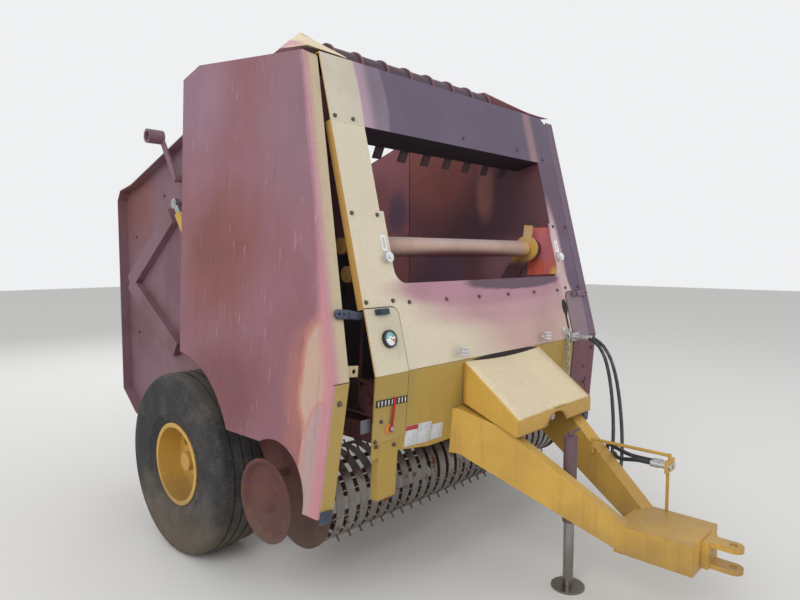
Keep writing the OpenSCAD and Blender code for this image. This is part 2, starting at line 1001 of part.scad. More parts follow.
// A chain's loop as arcs round two sprockets and the straight runs between them,
// with a wide point at each roller and a waist between two
function run_turn(a, b) = acos((pitch_r(a) - pitch_r(b)) / norm([b[0] - a[0], b[1] - a[1]]));
function run_along(a, b) = atan2(b[1] - a[1], b[0] - a[0]);
function arc_points(row, from, to, side) =
    let (n = ceil((to - from) / 360 * row[2]) * 2)
    [
        for (i = [0:n])
            let (t = from + (to - from) * i / n, r = pitch_r(row) + side * link_half(i))
            [row[0] + r * cos(t), row[1] + r * sin(t)]
    ];
function link_half(i) = i % 2 == 0 ? chain_roller_r : chain_waist;
function run_points(p, q, side, out) =
    let (n = round(norm(q - p) / chain_pitch) * 2)
    [
        for (i = [1:n - 1])
            p + (q - p) * i / n + side * (link_half(i) - chain_roller_r) * out
    ];
function loop_points(a, b, side) =
    let (
        turn = run_turn(a, b),
        along = run_along(a, b),
        round_a = arc_points(a, along + turn, along + 360 - turn, side),
        round_b = arc_points(b, along - turn, along + turn, side),
        low = [cos(along - turn), sin(along - turn)],
        high = [cos(along + turn), sin(along + turn)]
    )
    concat(
        round_a,
        run_points(round_a[len(round_a) - 1], round_b[0], side, low),
        round_b,
        run_points(round_b[len(round_b) - 1], round_a[0], side, high)
    );

module chain_loop(a, b) {
    side_plate(a[3] + chain_w / 2, chain_w)
        difference() {
            polygon(loop_points(a, b, 1));
            polygon(loop_points(a, b, -1));
        }
}

module drive_chain() {
    color(dark_rust)
        from_bend_line()
            union() {
                for (row = sprocket_rows)
                    sprocket(row);
                chain_loop(sprocket_rows[0], sprocket_rows[1]);
                chain_loop(sprocket_rows[2], sprocket_rows[3]);
                for (row = [sprocket_rows[1], sprocket_rows[2], sprocket_rows[3]])
                    bar_x(-row[3] - chain_w, -wall_x, roller_shaft_r, row[0], row[1]);
            }
}

box_x = 130;
box_y = [420, 1080];
box_z = [1300, 1900];
box_t = 5;
shelf_z = box_z[1] - 195;

module twine_box() {
    color(mauve)
        from_bend_line()
            difference() {
                translate([wall_x, box_y[0], box_z[0]])
                    cube([box_x, box_y[1] - box_y[0], box_z[1] - box_z[0]]);
                for (z = [[box_z[0] + box_t, shelf_z], [shelf_z + box_t, box_z[1] - box_t]])
                    translate([wall_x + box_t, box_y[0] + box_t, z[0]])
                        cube([box_x, box_y[1] - box_y[0] - 2 * box_t, z[1] - z[0]]);
            }
}

// Pickup

reel_y = 450;
reel_z = 450;
plate_in = 1030;
plate_t = 12;
band_r = 205;
band_t = 3;
band_pitch = 2 * reel_x / band_count;
band_w = band_pitch - 26;
gauge_y = 371;
gauge_z = 550;
gauge_in = 1250;
gauge_w = 40;
gauge_axle_r = 14;
arm_y = 540;
arm_z = 580;
pickup_arm_r = 20;
bracket_in = 1228;
bracket_t = 12;
reel_shaft_r = 22;

module pickup_frame() {
    color(dark_rust)
        from_bend_line()
            union() {
                both_sides() {
                    difference() {
                        union() {
                            side_plate(plate_in + plate_t, plate_t)
                                union() {
                                    translate([reel_y, reel_z])
                                        circle(band_r + 12);
                                    polygon([[reel_y, 640], [700, 752], [785, 752], [785, 680], [620, 420]]);
                                }
                            bar_x(-bracket_in, -plate_in - plate_t, pickup_arm_r, arm_y, arm_z);
                            side_plate(bracket_in + bracket_t, bracket_t)
                                polygon([[gauge_y - 40, gauge_z - 45], [arm_y + 30, arm_z - 30],
                                    [arm_y + 10, arm_z + 60], [508, 646], [gauge_y - 25, gauge_z + 45]]);
                            bar_x(-gauge_in - gauge_w - 2, -bracket_in, gauge_axle_r, gauge_y, gauge_z);
                        }
                        bar_x(-plate_in - plate_t - 1, -plate_in + 1, reel_shaft_r + fit, reel_y, reel_z);
                    }
                }
                bar_x(-plate_in, plate_in, pivot_r, pivot_y, pivot_z);
            }
}

module pickup_bands() {
    color(zinc)
        from_bend_line()
            union() {
                for (i = [0:band_count - 1])
                    translate([(i - (band_count - 1) / 2) * band_pitch - band_w / 2, reel_y, reel_z])
                        rotate([90, 0, 90])
                            rotate([0, 0, 70])
                                rotate_extrude(angle = 215)
                                    translate([band_r, 0])
                                        square([band_t, band_w]);
                for (a = [72, 283])
                    translate([0, reel_y + (band_r - 6) * cos(a), reel_z + (band_r - 6) * sin(a)])
                        rotate([a, 0, 0])
                            translate([-plate_in + seat, -8, -8])
                                cube([2 * plate_in - 2 * seat, 14, 14]);
            }
}

tine_bar_r = 125;
tine_w = 7;
tine_count = band_count - 1;

module pickup_reel() {
    color(dark_rust)
        from_bend_line()
            union() {
                bar_x(-plate_in - plate_t, plate_in + plate_t, reel_shaft_r, reel_y, reel_z);
                for (x = [-reel_x, -4, reel_x - 8])
                    bar_x(x, x + 8, tine_bar_r + 14, reel_y, reel_z);
                for (bar = [0:3])
                    translate([0, reel_y, reel_z])
                        rotate([45 + bar * 90, 0, 0])
                            union() {
                                translate([-reel_x, 0, tine_bar_r])
                                    rotate([0, 90, 0])
                                        cylinder(r = 12, h = 2 * reel_x, $fn = 12);
                                for (i = [0:tine_count - 1])
                                    translate([(i - (tine_count - 1) / 2) * band_pitch, 0, tine_bar_r])
                                        rotate([12, 0, 0])
                                            translate([-tine_w / 2, -tine_w / 2, 0])
                                                cube([tine_w, tine_w, tine_tip_r - tine_bar_r - 3]);
                            }
            }
}

module gauge_wheel() {
    turned_x(gauge_y, gauge_z)
        polygon([[gauge_axle_r + fit, -gauge_in - gauge_w], [30, -gauge_in - gauge_w],
            [60, -gauge_in - 18], [gauge_r - 35, -gauge_in - 18], [gauge_r - 15, -gauge_in - gauge_w],
            [gauge_r, -gauge_in - gauge_w], [gauge_r, -gauge_in - gauge_w + 6],
            [gauge_r - 12, -gauge_in - gauge_w + 6], [gauge_r - 30, -gauge_in - 12],
            [60, -gauge_in - 12], [30, -gauge_in], [gauge_axle_r + fit, -gauge_in]]);
}

module gauge_wheel_right() {
    color(mauve)
        from_bend_line()
            gauge_wheel();
}

module gauge_wheel_left() {
    color(mauve)
        from_bend_line()
            mirror([1, 0, 0])
                gauge_wheel();
}

// Wheels, turned about the axle line

rim_r = 205;
rim_lip = 18;
rim_t = 6;
hub_r = 80;
bead_w = 290;

tyre_wall = 26;
tyre_shoulder = 45;
// Grooves round the tread: distance from the tyre's middle
groove_xs = [-84, -28, 28, 84];
groove_w = 14;
groove_d = 9;

// Cross-section of a tyre in radius and x, moved in by d
module tyre_section(d) {
    out = tyre_r - d;
    half = tyre_w / 2 - d;
    shoulder = tyre_shoulder - d;
    bead = bead_w / 2 - seat - d;
    union() {
        polygon([[rim_r + seat, -bead], [rim_r + 25, -bead], [rim_r + 70, -half], [out - shoulder, -half],
            [out - shoulder, half], [rim_r + 70, half], [rim_r + 25, bead], [rim_r + seat, bead]]);
        translate([out - shoulder - 1, shoulder - half])
            square([shoulder + 1, 2 * (half - shoulder)]);
        for (s = [-1, 1])
            translate([out - shoulder, s * (half - shoulder)])
                circle(shoulder, $fn = 24);
    }
}

module tyre() {
    turned_x(axle_y, tyre_r)
        translate([0, -track_x])
            difference() {
                tyre_section(0);
                tyre_section(tyre_wall);
                for (x = groove_xs)
                    translate([tyre_r - groove_d, x - groove_w / 2])
                        square([groove_d + 1, groove_w]);
                translate([rim_r - 1, tyre_wall - bead_w / 2])
                    square([30, bead_w - 2 * tyre_wall]);
            }
}

module tyre_right() {
    color(black)
        from_bend_line()
            tyre();
}

module tyre_left() {
    color(black)
        from_bend_line()
            mirror([1, 0, 0])
                tyre();
}

module rim() {
    difference() {
        union() {
            turned_x(axle_y, tyre_r)
                translate([0, -track_x])
                    union() {
                        for (s = [-1, 1])
                            translate([rim_r - rim_t, s * (bead_w + rim_t) / 2 - rim_t / 2])
                                square([rim_lip + rim_t, rim_t]);
                        translate([rim_r - rim_t, -bead_w / 2])
                            square([rim_t, bead_w]);
                        translate([hub_r - 5, -20])
                            square([rim_r - hub_r, 10]);
                    }
            bar_x(-hub_out, -hub_in, hub_r, axle_y, tyre_r);
            bar_x(-hub_out - 30, -hub_out, 50, axle_y, tyre_r);
        }
        bar_x(-hub_out - 14, -hub_in + 1, spindle_r + fit, axle_y, tyre_r);
        for (i = [0:5])
            translate([0, axle_y, tyre_r])
                rotate([i * 60, 0, 0])
                    bar_x(-track_x - 60, -track_x + 60, 22, 0, 145);
    }
}

module rim_right() {
    color(golden)
        from_bend_line()
            rim();
}

module rim_left() {
    color(golden)
        from_bend_line()
            mirror([1, 0, 0])
                rim();
}

// Tailgate

gate_front_y = split_y + clear + 2;
lug_y = 1950;
lug_z = 1950;
gate_ear_t = wall_t;
gate_outline = [
    [gate_front_y, belly_z], [1800, 500], [rear_y - 210, 460], [rear_y, 620], [rear_y, 2020],
    [rear_y - 50, 2090], [rear_y - 230, 2120], [gate_front_y, tailgate_pin[1]]
];
brace_w = 110;
brace_t = 50;
// Braces: from y, z to y, z
brace_rows = [
    [2050, 1880, rear_y - 130, 1420],
    [rear_y - 130, 1420, 2030, 990]
];

// Tube stub over the tailgate's upper edge, held by a link outside the flange
stub_pin = [1920, 2105];
stub_at = [2100, 2385];
stub_r = 45;
stub_bore_r = 30;
stub_len = 90;
link_t = 12;
link_h = 44;

module gate_link() {
    link_x = wall_x + flange_w + link_t;
    difference() {
        union() {
            side_plate(link_x, link_t)
                rotate_to(stub_pin, stub_at)
                    translate([0, -link_h / 2])
                        square([norm(stub_at - stub_pin), link_h]);
            bar_x(-link_x - 6, -wall_x, link_h / 2, stub_pin[0], stub_pin[1]);
            bar_x(-link_x - stub_len, -link_x + link_t, stub_r, stub_at[0], stub_at[1]);
        }
        bar_x(-link_x - stub_len - 1, -link_x - 1, stub_bore_r, stub_at[0], stub_at[1]);
    }
}

module gate_wall() {
    difference() {
        union() {
            gate_link();
            side_plate(wall_x, wall_t)
                polygon(gate_outline);
            side_plate(wall_x + flange_w, flange_w)
                difference() {
                    polygon(gate_outline);
                    polygon(inset(gate_outline, 8));
                    translate([gate_front_y - 1, 0])
                        square([200, 3000]);
                }
            for (row = brace_rows)
                side_plate(wall_x + brace_t, brace_t)
                    translate([row[0], row[1]])
                        rotate(atan2(row[3] - row[1], row[2] - row[0]))
                            translate([0, -brace_w / 2])
                                square([norm([row[2] - row[0], row[3] - row[1]]), brace_w]);
            side_plate(wall_x + clear + gate_ear_t, gate_ear_t)
                union() {
                    translate(tailgate_pin)
                        circle(hinge_boss_r);
                    translate([tailgate_pin[0], tailgate_pin[1] - 60])
                        square([190, 80]);
                }
            translate([-wall_x - clear, tailgate_pin[0] + hinge_boss_r + clear, tailgate_pin[1] - 60])
                cube([clear, 120, 40]);
            bar_x(-wall_x - 28, -wall_x, cylinder_pin_r, lug_y, lug_z);
            bar_x(-wall_x - 12, -wall_x, cylinder_pin_r + 35, lug_y, lug_z);
        }
        bar_x(-wall_x - clear - gate_ear_t - 1, -wall_x - clear + 1, tailgate_pin_r + fit,
            tailgate_pin[0], tailgate_pin[1]);
        bar_x(-wall_x - 1, -wall_in + 1, hinge_boss_r + clear, tailgate_pin[0], tailgate_pin[1]);
    }
}

module tailgate_right() {
    color(mauve)
        from_bend_line()
            gate_wall();
}

module tailgate_left() {
    color(mauve)
        from_bend_line()
            mirror([1, 0, 0])
                gate_wall();
}

// Cross bars between the tailgate's walls: y, z, depth, height
gate_bar_rows = [
    [rear_y - 110, 1780, 80, 80],
    [rear_y - 270, 500, 90, 60],
    [split_y + 150, 560, 60, 60]
];

module tailgate_frame() {
    color(dark_rust)
        from_bend_line()
            for (row = gate_bar_rows)
                translate([-wall_in, row[0], row[1]])
                    cube([2 * wall_in, row[2], row[3]]);
}

module tailgate_rollers() {
    color(dark_rust)
        from_bend_line()
            for (row = tailgate_roller_rows)
                roller(row);
}

// Tension arm, turning on its cross tube

arm_end = [580, 1240];
arm_x = 640;
tension_end = wall_x + 106;
tension_cap_r = 38;

module tension_arm() {
    color([0.80, 0.61, 0.27])
        from_bend_line()
            union() {
                bar_x(-arm_x, arm_x, tension_r, tension_y, tension_z);
                bar_x(-tension_end, tension_end, tension_shaft_r, tension_y, tension_z);
                both_sides()
                    bar_x(-tension_end, -tension_end + 18, tension_cap_r, tension_y, tension_z);
                both_sides()
                    side_plate(arm_x + 50, 16)
                        union() {
                            translate([tension_y, tension_z])
                                circle(tension_boss_r + 34);
                            translate(arm_end)
                                circle(50);
                            rotate_to([tension_y, tension_z], arm_end)
                                translate([0, -50])
                                    square([norm(arm_end - [tension_y, tension_z]), 100]);
                            rotate_to([tension_y, tension_z], [tension_y - 20, tension_z + 190])
                                translate([0, -28])
                                    square([150, 56]);
                        }
                bar_x(-arm_x - 34, arm_x + 34, 18, arm_end[0], arm_end[1]);
                bar_x(-arm_x + 10, arm_x - 10, 50, arm_end[0], arm_end[1]);
            }
}

module rotate_to(a, b) {
    translate(a)
        rotate(atan2(b[1] - a[1], b[0] - a[0]))
            children();
}

// Doors. The right door is drawn closed and then swung about its hinge line.

door_bottom_z = 540;
door_rear_y = 1400;
// Rear corner of the bottom edge, and where the rear edge meets the hinge line
door_heel = [1172, 600];
door_top_y = 1237;
door_outline = [
    [door_front_y - 3, door_hinge_z - 10],
    [0, bend_z],
    on_tuck_at(bend_z - door_bottom_z),
    [720, door_bottom_z],
    door_heel,
    [door_rear_y, hinge_z_at(door_rear_y) - 60],
    [door_top_y, hinge_z_at(door_top_y) + 8],
    [door_front_y + 2, hinge_z_at(door_front_y) + 8]
];
door_flange = 85;
door_rear_flange = 36;
// Notch that clears the gauge wheel, also while the pickup is lifted
notch_r = gauge_r + 40;
notch_shift = [-10, 27];
notch_z = 775;
// Beyond a door's rear edge, and above it
past_door = 1500;
above_door = hinge_z_at(door_rear_y) + 100;
// Middles of the door hinges along y
hinge_ys = [door_front_y + 146, door_front_y + 796];
door_pin_r = 8;
knuckle_r = 17;
knuckle_len = 40;
knuckle_gap = 60;
hinge_strap_w = 40;
hinge_strap_t = 18;

module door_cutouts() {
    translate([axle_y, tyre_r])
        circle(arch_r, $fn = 96);
    translate([gauge_y, gauge_z] + notch_shift)
        circle(notch_r);
    translate([gauge_y, 0])
        square([axle_y - gauge_y, notch_z]);
}

module at_hinge(y) {
    translate([-door_hinge_x, y, hinge_z_at(y)])
        rotate([hinge_pitch - 90, 0, 0])
            children();
}

module door_closed() {
    difference() {
        union() {
            side_plate(door_x, door_t)
                difference() {
                    polygon(door_outline);
                    door_cutouts();
                }
            side_plate(door_x, door_flange)
                difference() {
                    polygon(door_outline);
                    polygon([[door_front_y - 3 + sheet, door_hinge_z - 11], [sheet, bend_z],
                        on_tuck_at(bend_z - door_bottom_z) + [sheet, -2], [past_door, 0],
                        [past_door, above_door], [door_front_y - 3 + sheet, above_door]]);
                }
            side_plate(door_x, door_rear_flange)
                difference() {
                    polygon(door_outline);
                    door_cutouts();
                    translate([-past_door, 0])
                        square([past_door + door_heel[0] - 7, above_door]);
                    polygon([[door_heel[0] - 10, 0], door_heel - [sheet, 0],
                        [door_rear_y - sheet, hinge_z_at(door_rear_y) - 62],
                        [door_top_y, hinge_z_at(door_top_y) + 30], [door_heel[0] - 10, above_door]]);
                }
            for (y = hinge_ys)
                for (s = [-1, 1])
                    at_hinge(y)
                        translate([0, 0, s * (knuckle_len + knuckle_gap) / 2 - knuckle_len / 2])
                            union() {
                                cylinder(r = knuckle_r, h = knuckle_len);
                                translate([-(door_x - door_hinge_x) + 1, -8, 0])
                                    cube([door_x - door_hinge_x - 1, 16, knuckle_len]);
                            }
        }
        for (y = hinge_ys)
            at_hinge(y)
                translate([0, 0, -100])
                    cylinder(r = door_pin_r + fit, h = 200);
    }
}

module swung_open(angle) {
    about = [-door_hinge_x, door_front_y, door_hinge_z];
    translate(about)
        rotate(a = angle, v = [0, cos(hinge_pitch), sin(hinge_pitch)])
            translate(-about)
                children();
}

module door_right() {
    color(mauve)
        from_bend_line()
            swung_open(right_swing)
                door_closed();
}

module door_left() {
    color(mauve)
        from_bend_line()
            mirror([1, 0, 0])
                door_closed();
}

module door_hinges() {
    color(dark_rust)
        from_bend_line()
            both_sides()
                for (y = hinge_ys)
                    union() {
                        at_hinge(y)
                            translate([0, 0, -knuckle_len - knuckle_gap / 2])
                                cylinder(r = door_pin_r, h = 2 * knuckle_len + knuckle_gap);
                        at_hinge(y)
                            translate([0, 0, -knuckle_gap / 2 + clear])
                                cylinder(r = knuckle_r - 2, h = knuckle_gap - 2 * clear);
                        translate([-door_hinge_x, y - hinge_strap_w / 2, hinge_z_at(y) - hinge_strap_t + 4])
                            cube([door_hinge_x - wall_x, hinge_strap_w, hinge_strap_t]);
                    }
}

catch_x = 916;
catch_v = 262;

module door_catches() {
    color([0.22, 0.25, 0.32])
        from_bend_line()
            both_sides()
                on_slope()
                    union() {
                        translate([-catch_x, -panel_t - 14, catch_v])
                            cube([77, 14, 26]);
                        translate([11 - catch_x, -panel_t - 22, catch_v + 4])
                            cube([18, 10, 18]);
                    }
}

// Lift cylinders, drawn along their own line and laid between the two pins

barrel_r = 32;
rod_r = 20;
eye_r = 32;
cylinder_len = norm([lug_y - barrel_pin_y, lug_z - barrel_pin_z]);
cylinder_turn = atan2(lug_z - barrel_pin_z, lug_y - barrel_pin_y);
barrel_end = cylinder_len - 90;
// Where the barrel's bore and the retracted rod begin
barrel_bore_z = 250;
rod_start = 300;
eye_w = 40;

// Local Z runs along the cylinder, from the barrel's pin to the rod's
module along_cylinder() {
    translate([-cylinder_x, barrel_pin_y, barrel_pin_z])
        rotate([cylinder_turn - 90, 0, 0])
            children();
}

module barrel() {
    along_cylinder()
        difference() {
            union() {
                translate([-eye_w / 2, 0, 0])
                    rotate([0, 90, 0])
                        cylinder(r = eye_r, h = eye_w);
                translate([0, 0, 20])
                    cylinder(r = barrel_r, h = barrel_end - 20);
            }
            translate([-eye_w, 0, 0])
                rotate([0, 90, 0])
                    cylinder(r = cylinder_pin_r + fit, h = 2 * eye_w);
            translate([0, 0, barrel_bore_z])
                cylinder(r = rod_r + fit, h = barrel_end);
        }
}

module rod() {
    along_cylinder()
        union() {
            translate([0, 0, rod_start])
                cylinder(r = rod_r, h = cylinder_len - rod_start - 10);
            translate([-eye_w / 2 + 5, 0, cylinder_len])
                rotate([0, 90, 0])
                    cylinder(r = eye_r, h = eye_w - 10);
            translate([-eye_w / 2, 0, cylinder_len])
                rotate([0, 90, 0])
                    cylinder(r = cylinder_pin_r, h = eye_w + 8);
        }
}

module barrel_right() {
    color(golden)
        from_bend_line()
            barrel();
}

module barrel_left() {
    color(golden)
        from_bend_line()
            mirror([1, 0, 0])
                barrel();
}

module rod_right() {
    color(zinc)
        from_bend_line()
            rod();
}

module rod_left() {
    color(zinc)
        from_bend_line()
            mirror([1, 0, 0])
                rod();
}

// Hoses: points along each, chosen by hand, from the ports on the front to the parked couplers
hose_r = 10;
park_y = 740;
hose_a_route = [
    [720, -75, 1112], [720, -95, 1112], [720, -115, 1112], [717, -148, 1104], [711, -196, 1072],
    [703, -238, 1010], [692, -268, 930], [678, -292, 840], [660, -312, 745], [636, -330, 650],
    [604, -346, 560], [562, -360, 480], [512, -374, 425], [458, -388, 402], [404, -402, 415],
    [360, -418, 458], [322, -434, 515], [299, -446, 562], [286, -457, 604], [263, -470, 636],
    [234, -488, 650], [208, -515, 649], [197, -555, 641], [191, -600, 630], [188, -645, 625],
    [188, -690, 624], [188, -715, 624], [188, -park_y, 624]
];
hose_b_route = [
    [765, -75, 1112], [765, -95, 1112], [765, -115, 1112], [764, -150, 1103], [760, -204, 1066],
    [752, -252, 998], [741, -288, 912], [726, -316, 816], [706, -340, 716], [680, -362, 616],
    [646, -382, 522], [600, -400, 440], [544, -418, 385], [484, -436, 365], [424, -452, 382],
    [370, -466, 432], [326, -480, 496], [294, -494, 548], [264, -508, 588], [231, -524, 603],
    [196, -548, 600], [166, -586, 604], [150, -630, 615], [146, -672, 623], [146, -698, 624],
    [146, -719, 624], [146, -park_y, 624]
];
coupler_xs = [188, 146];
coupler_z = 624;
coupler_r = 13;
port_z = 1112;
port_block = 22;
port_r = 14;

module hose_a() {
    color(black)
        from_bend_line()
            swept_tube(smooth(hose_a_route, 2), hose_r, 8);
}

module hose_b() {
    color(black)
        from_bend_line()
            swept_tube(smooth(hose_b_route, 2), hose_r, 8);
}

module hose_couplers() {
    color(zinc)
        from_bend_line()
            for (x = coupler_xs)
                translate([x, -park_y - seat, coupler_z])
                    rotate([90, 0, 0])
                        union() {
                            cylinder(r = coupler_r + 3, h = 40, $fn = 24);
                            cylinder(r = coupler_r, h = 95);
                        }
}

module hose_ports() {
    color(zinc)
        from_bend_line()
            union() {
                translate([700, -panel_t - port_block, port_z - 24])
                    cube([90, port_block - 1, 48]);
                for (route = [hose_a_route, hose_b_route])
                    translate(route[0] + [0, seat, 0])
                        rotate([-90, 0, 0])
                            cylinder(r = port_r, h = -route[0][1] - port_block - seat);
            }
}

wall_right();
wall_left();
header();
front_sheet();
lower_front();
access_panels();
shoulder_covers();
frame_rails();
axle();
top_roller();
chamber_rollers();
guide_bar();
tongue();
hitch();
tongue_cover();
gearbox();
hose_holder();
hose_ports();
jack_tube();
gauge();
bale_scale();
twine_guides();
tow_chain();
drive_chain();
twine_box();
pickup_frame();
pickup_bands();
door_hinges();
door_catches();
jack_leg();
input_shaft();
pickup_reel();
gauge_wheel_right();
gauge_wheel_left();
tyre_right();
rim_right();
tyre_left();
rim_left();
tailgate_right();
tailgate_left();
tailgate_frame();
tailgate_rollers();
tension_arm();
door_right();
door_left();
barrel_right();
barrel_left();
rod_right();
rod_left();
hose_a();
hose_b();
hose_couplers();
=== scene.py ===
"""Round baler: paint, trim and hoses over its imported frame."""
import math

import bpy
from bpy.props import BoolProperty, FloatProperty, FloatVectorProperty, IntProperty, PointerProperty
from bpy.types import NodeSocket, Operator, Panel, PropertyGroup
from mathutils import Matrix, Vector


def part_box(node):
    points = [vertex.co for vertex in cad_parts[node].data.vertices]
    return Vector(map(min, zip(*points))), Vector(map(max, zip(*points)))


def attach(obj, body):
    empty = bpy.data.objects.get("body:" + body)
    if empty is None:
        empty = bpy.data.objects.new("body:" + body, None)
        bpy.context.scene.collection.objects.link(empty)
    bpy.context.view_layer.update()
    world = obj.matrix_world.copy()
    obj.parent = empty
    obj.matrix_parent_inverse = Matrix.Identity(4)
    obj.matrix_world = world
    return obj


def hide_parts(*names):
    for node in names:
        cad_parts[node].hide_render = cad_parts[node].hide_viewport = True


bl_info = {
    "name": "Round Baler Dressing",
    "version": (1, 0, 0),
    "blender": (4, 5, 0),
    "location": "View3D > Sidebar > Round Baler",
    "description": "Paints a round baler's sheet metal and adds its trim, hoses and stage",
    "category": "Object",
}

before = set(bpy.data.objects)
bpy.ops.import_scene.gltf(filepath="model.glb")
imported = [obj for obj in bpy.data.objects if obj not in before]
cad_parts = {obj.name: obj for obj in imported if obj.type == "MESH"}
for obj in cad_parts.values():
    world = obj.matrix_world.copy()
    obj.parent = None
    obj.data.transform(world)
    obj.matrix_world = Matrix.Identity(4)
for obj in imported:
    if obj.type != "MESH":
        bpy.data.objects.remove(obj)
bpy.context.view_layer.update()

# Right and left as seen by the driver: the sign of X and the word in the bodies' names
SIDES = ((-1, "right"), (1, "left"))

# The front sheet's bend line, its slope above that line and its tuck below, in metres
BEND_Y, BEND_Z = -0.82, 1.10
LEAN, TUCK = math.radians(14), math.radians(4.5)

# Access panels on the front sheet: thickness, inner side, top up the slope, corner radius
PANEL, PANEL_SIDE, PANEL_TOP, PANEL_ROUND = 0.004, 0.770, 0.294, 0.040

# The right door's hinge line and how far the door hangs open
DOOR_PIVOT = Vector((-1.04, -0.466, 2.505))
DOOR_PITCH, DOOR_HANG = math.radians(7.1), math.radians(5.9)

# Rubber straps on the doors' flanges: X of their middle and place up the slope
STRAP_X, STRAP_V = 0.990, 0.278

# Outer faces of the walls and of the wheels' hubs, and the axle's place
WALL_X, HUB_X, AXLE_Y, AXLE_Z = 0.8, 1.110, 0.460, 0.490

# Hose routes in millimetres, from the ports to the parked couplers; y is measured from the bend line
HOSE_A = [
    (720, -75, 1112), (720, -95, 1112), (720, -115, 1112), (717, -148, 1104), (711, -196, 1072),
    (703, -238, 1010), (692, -268, 930), (678, -292, 840), (660, -312, 745), (636, -330, 650),
    (604, -346, 560), (562, -360, 480), (512, -374, 425), (458, -388, 402), (404, -402, 415),
    (360, -418, 458), (322, -434, 515), (299, -446, 562), (286, -457, 604), (263, -470, 636),
    (234, -488, 650), (208, -515, 649), (197, -555, 641), (191, -600, 630), (188, -645, 625),
    (188, -690, 624), (188, -715, 624), (188, -740, 624),
]
HOSE_B = [
    (765, -75, 1112), (765, -95, 1112), (765, -115, 1112), (764, -150, 1103), (760, -204, 1066),
    (752, -252, 998), (741, -288, 912), (726, -316, 816), (706, -340, 716), (680, -362, 616),
    (646, -382, 522), (600, -400, 440), (544, -418, 385), (484, -436, 365), (424, -452, 382),
    (370, -466, 432), (326, -480, 496), (294, -494, 548), (264, -508, 588), (231, -524, 603),
    (196, -548, 600), (166, -586, 604), (150, -630, 615), (146, -672, 623), (146, -698, 624),
    (146, -719, 624), (146, -740, 624),
]


def tone(red, green, blue):
    """Scene-linear colour of a paint chip given in display values from 0 to 255."""
    def linear(c):
        c /= 255
        return c / 12.92 if c <= 0.04045 else ((c + 0.055) / 1.055) ** 2.4
    return (linear(red), linear(green), linear(blue), 1.0)


GOLDEN = (206, 164, 76)
SIDE_GOLD = tone(206, 160, 90)
CHAMBER = tone(108, 68, 76)
ZINC = tone(206, 208, 210)


def colour_setting(name, description, *chip):
    return FloatVectorProperty(name=name, description=description, subtype="COLOR", size=4, min=0, max=1,
                               default=tone(*chip))


class SheetMetal(PropertyGroup):
    """Paint chips and wear of the burnt sheet metal"""
    primer: colour_setting("Primer", "Colour of the scorched doors and walls", 134, 90, 98)
    bleached: colour_setting("Bleached paint", "Colour of the heat-bleached front", 207, 197, 176)
    sound: colour_setting("Sound paint", "Colour of the paint under the bend", 166, 142, 78)
    rust: colour_setting("Rust", "Colour of rust where the paint is gone", 104, 54, 40)
    edge_wear: FloatProperty(name="Edge wear", description="How much paint has left the folded edges",
                             subtype="FACTOR", min=0, max=1, default=0.5)


class FrontTrim(PropertyGroup):
    """Sizes of the small things on the front"""
    bolt_size: FloatProperty(name="Bolt head", description="Width across a bolt head",
                             unit="LENGTH", min=0.008, max=0.03, default=0.0145)
    gauge_radius: FloatProperty(name="Gauge", description="Radius of the pressure gauge's face",
                                unit="LENGTH", min=0.02, max=0.04, default=0.034)
    scale_bars: IntProperty(name="Scale bars", description="Bars on the bale size scale", min=3, max=12, default=9)
    hose_radius: FloatProperty(name="Hose", description="Radius of a hydraulic hose",
                               unit="LENGTH", min=0.006, max=0.014, default=0.010)


class Studio(PropertyGroup):
    """Light and floor"""
    daylight: FloatProperty(name="Daylight", description="Strength of the even light from all round",
                            min=0, max=3, default=0.66)
    key_power: FloatProperty(name="Key lamp", description="Power of the large lamp over the front",
                             min=0, max=3000, default=300)
    floor_tone: colour_setting("Floor", "Colour of the floor", 226, 226, 224)
    show_floor: BoolProperty(name="Floor shown", description="Adds the floor under the machine", default=True)


# Places on the front sheet and on the hanging door

def sheet_frame(x, v, lean, lift):
    """Turns and moves a piece drawn facing +Z onto a plane through the bend line, v metres up from it."""
    s, c = math.sin(lean), math.cos(lean)
    turn = Matrix(((1, 0, 0), (0, s, -c), (0, c, s))).to_4x4()
    return Matrix.Translation((x, BEND_Y + v * s - lift * c, BEND_Z + v * c + lift * s)) @ turn


def slope_frame(x, v, lift=0.0):
    """A place on the slope, v metres up from the bend."""
    return sheet_frame(x, v, LEAN, lift)


def tuck_frame(x, z, lift=0.0):
    """A place on the sheet under the bend, at height z."""
    return sheet_frame(x, (z - BEND_Z) / math.cos(TUCK), -TUCK, lift)


def spin(degrees, axis="Z"):
    return Matrix.Rotation(math.radians(degrees), 4, axis)


def beside(sign, x, y, z):
    """A place on the machine's right or left side, for a piece drawn facing +Z."""
    return Matrix.Translation((sign * x, y, z)) @ spin(90 * sign, "Y")


def swing(sign):
    """Moves a piece from a closed door to where its door hangs; the right door hangs open."""
    if sign > 0:
        return Matrix.Identity(4)
    turn = Matrix.Rotation(DOOR_HANG, 4, Vector((0, math.cos(DOOR_PITCH), math.sin(DOOR_PITCH))))
    return Matrix.Translation(DOOR_PIVOT) @ turn @ Matrix.Translation(-DOOR_PIVOT)


# Shader building

def wire(tree, node, ins):
    """Joins sockets to a node's inputs and sets the inputs that are given values."""
    for key, value in ins.items():
        if isinstance(value, NodeSocket):
            tree.links.new(value, node.inputs[key])
        else:
            node.inputs[key].default_value = value
    return node


def add(tree, kind, ins=None, **settings):
    """Adds a shader node with its settings and inputs."""
    made = tree.nodes.new("ShaderNode" + kind)
    for name, value in settings.items():
        setattr(made, name, value)
    return wire(tree, made, ins or {})


def mix(tree, factor, a, b, blend="MIX"):
    return add(tree, "Mix", {0: factor, 6: a, 7: b}, data_type="RGBA", blend_type=blend).outputs[2]


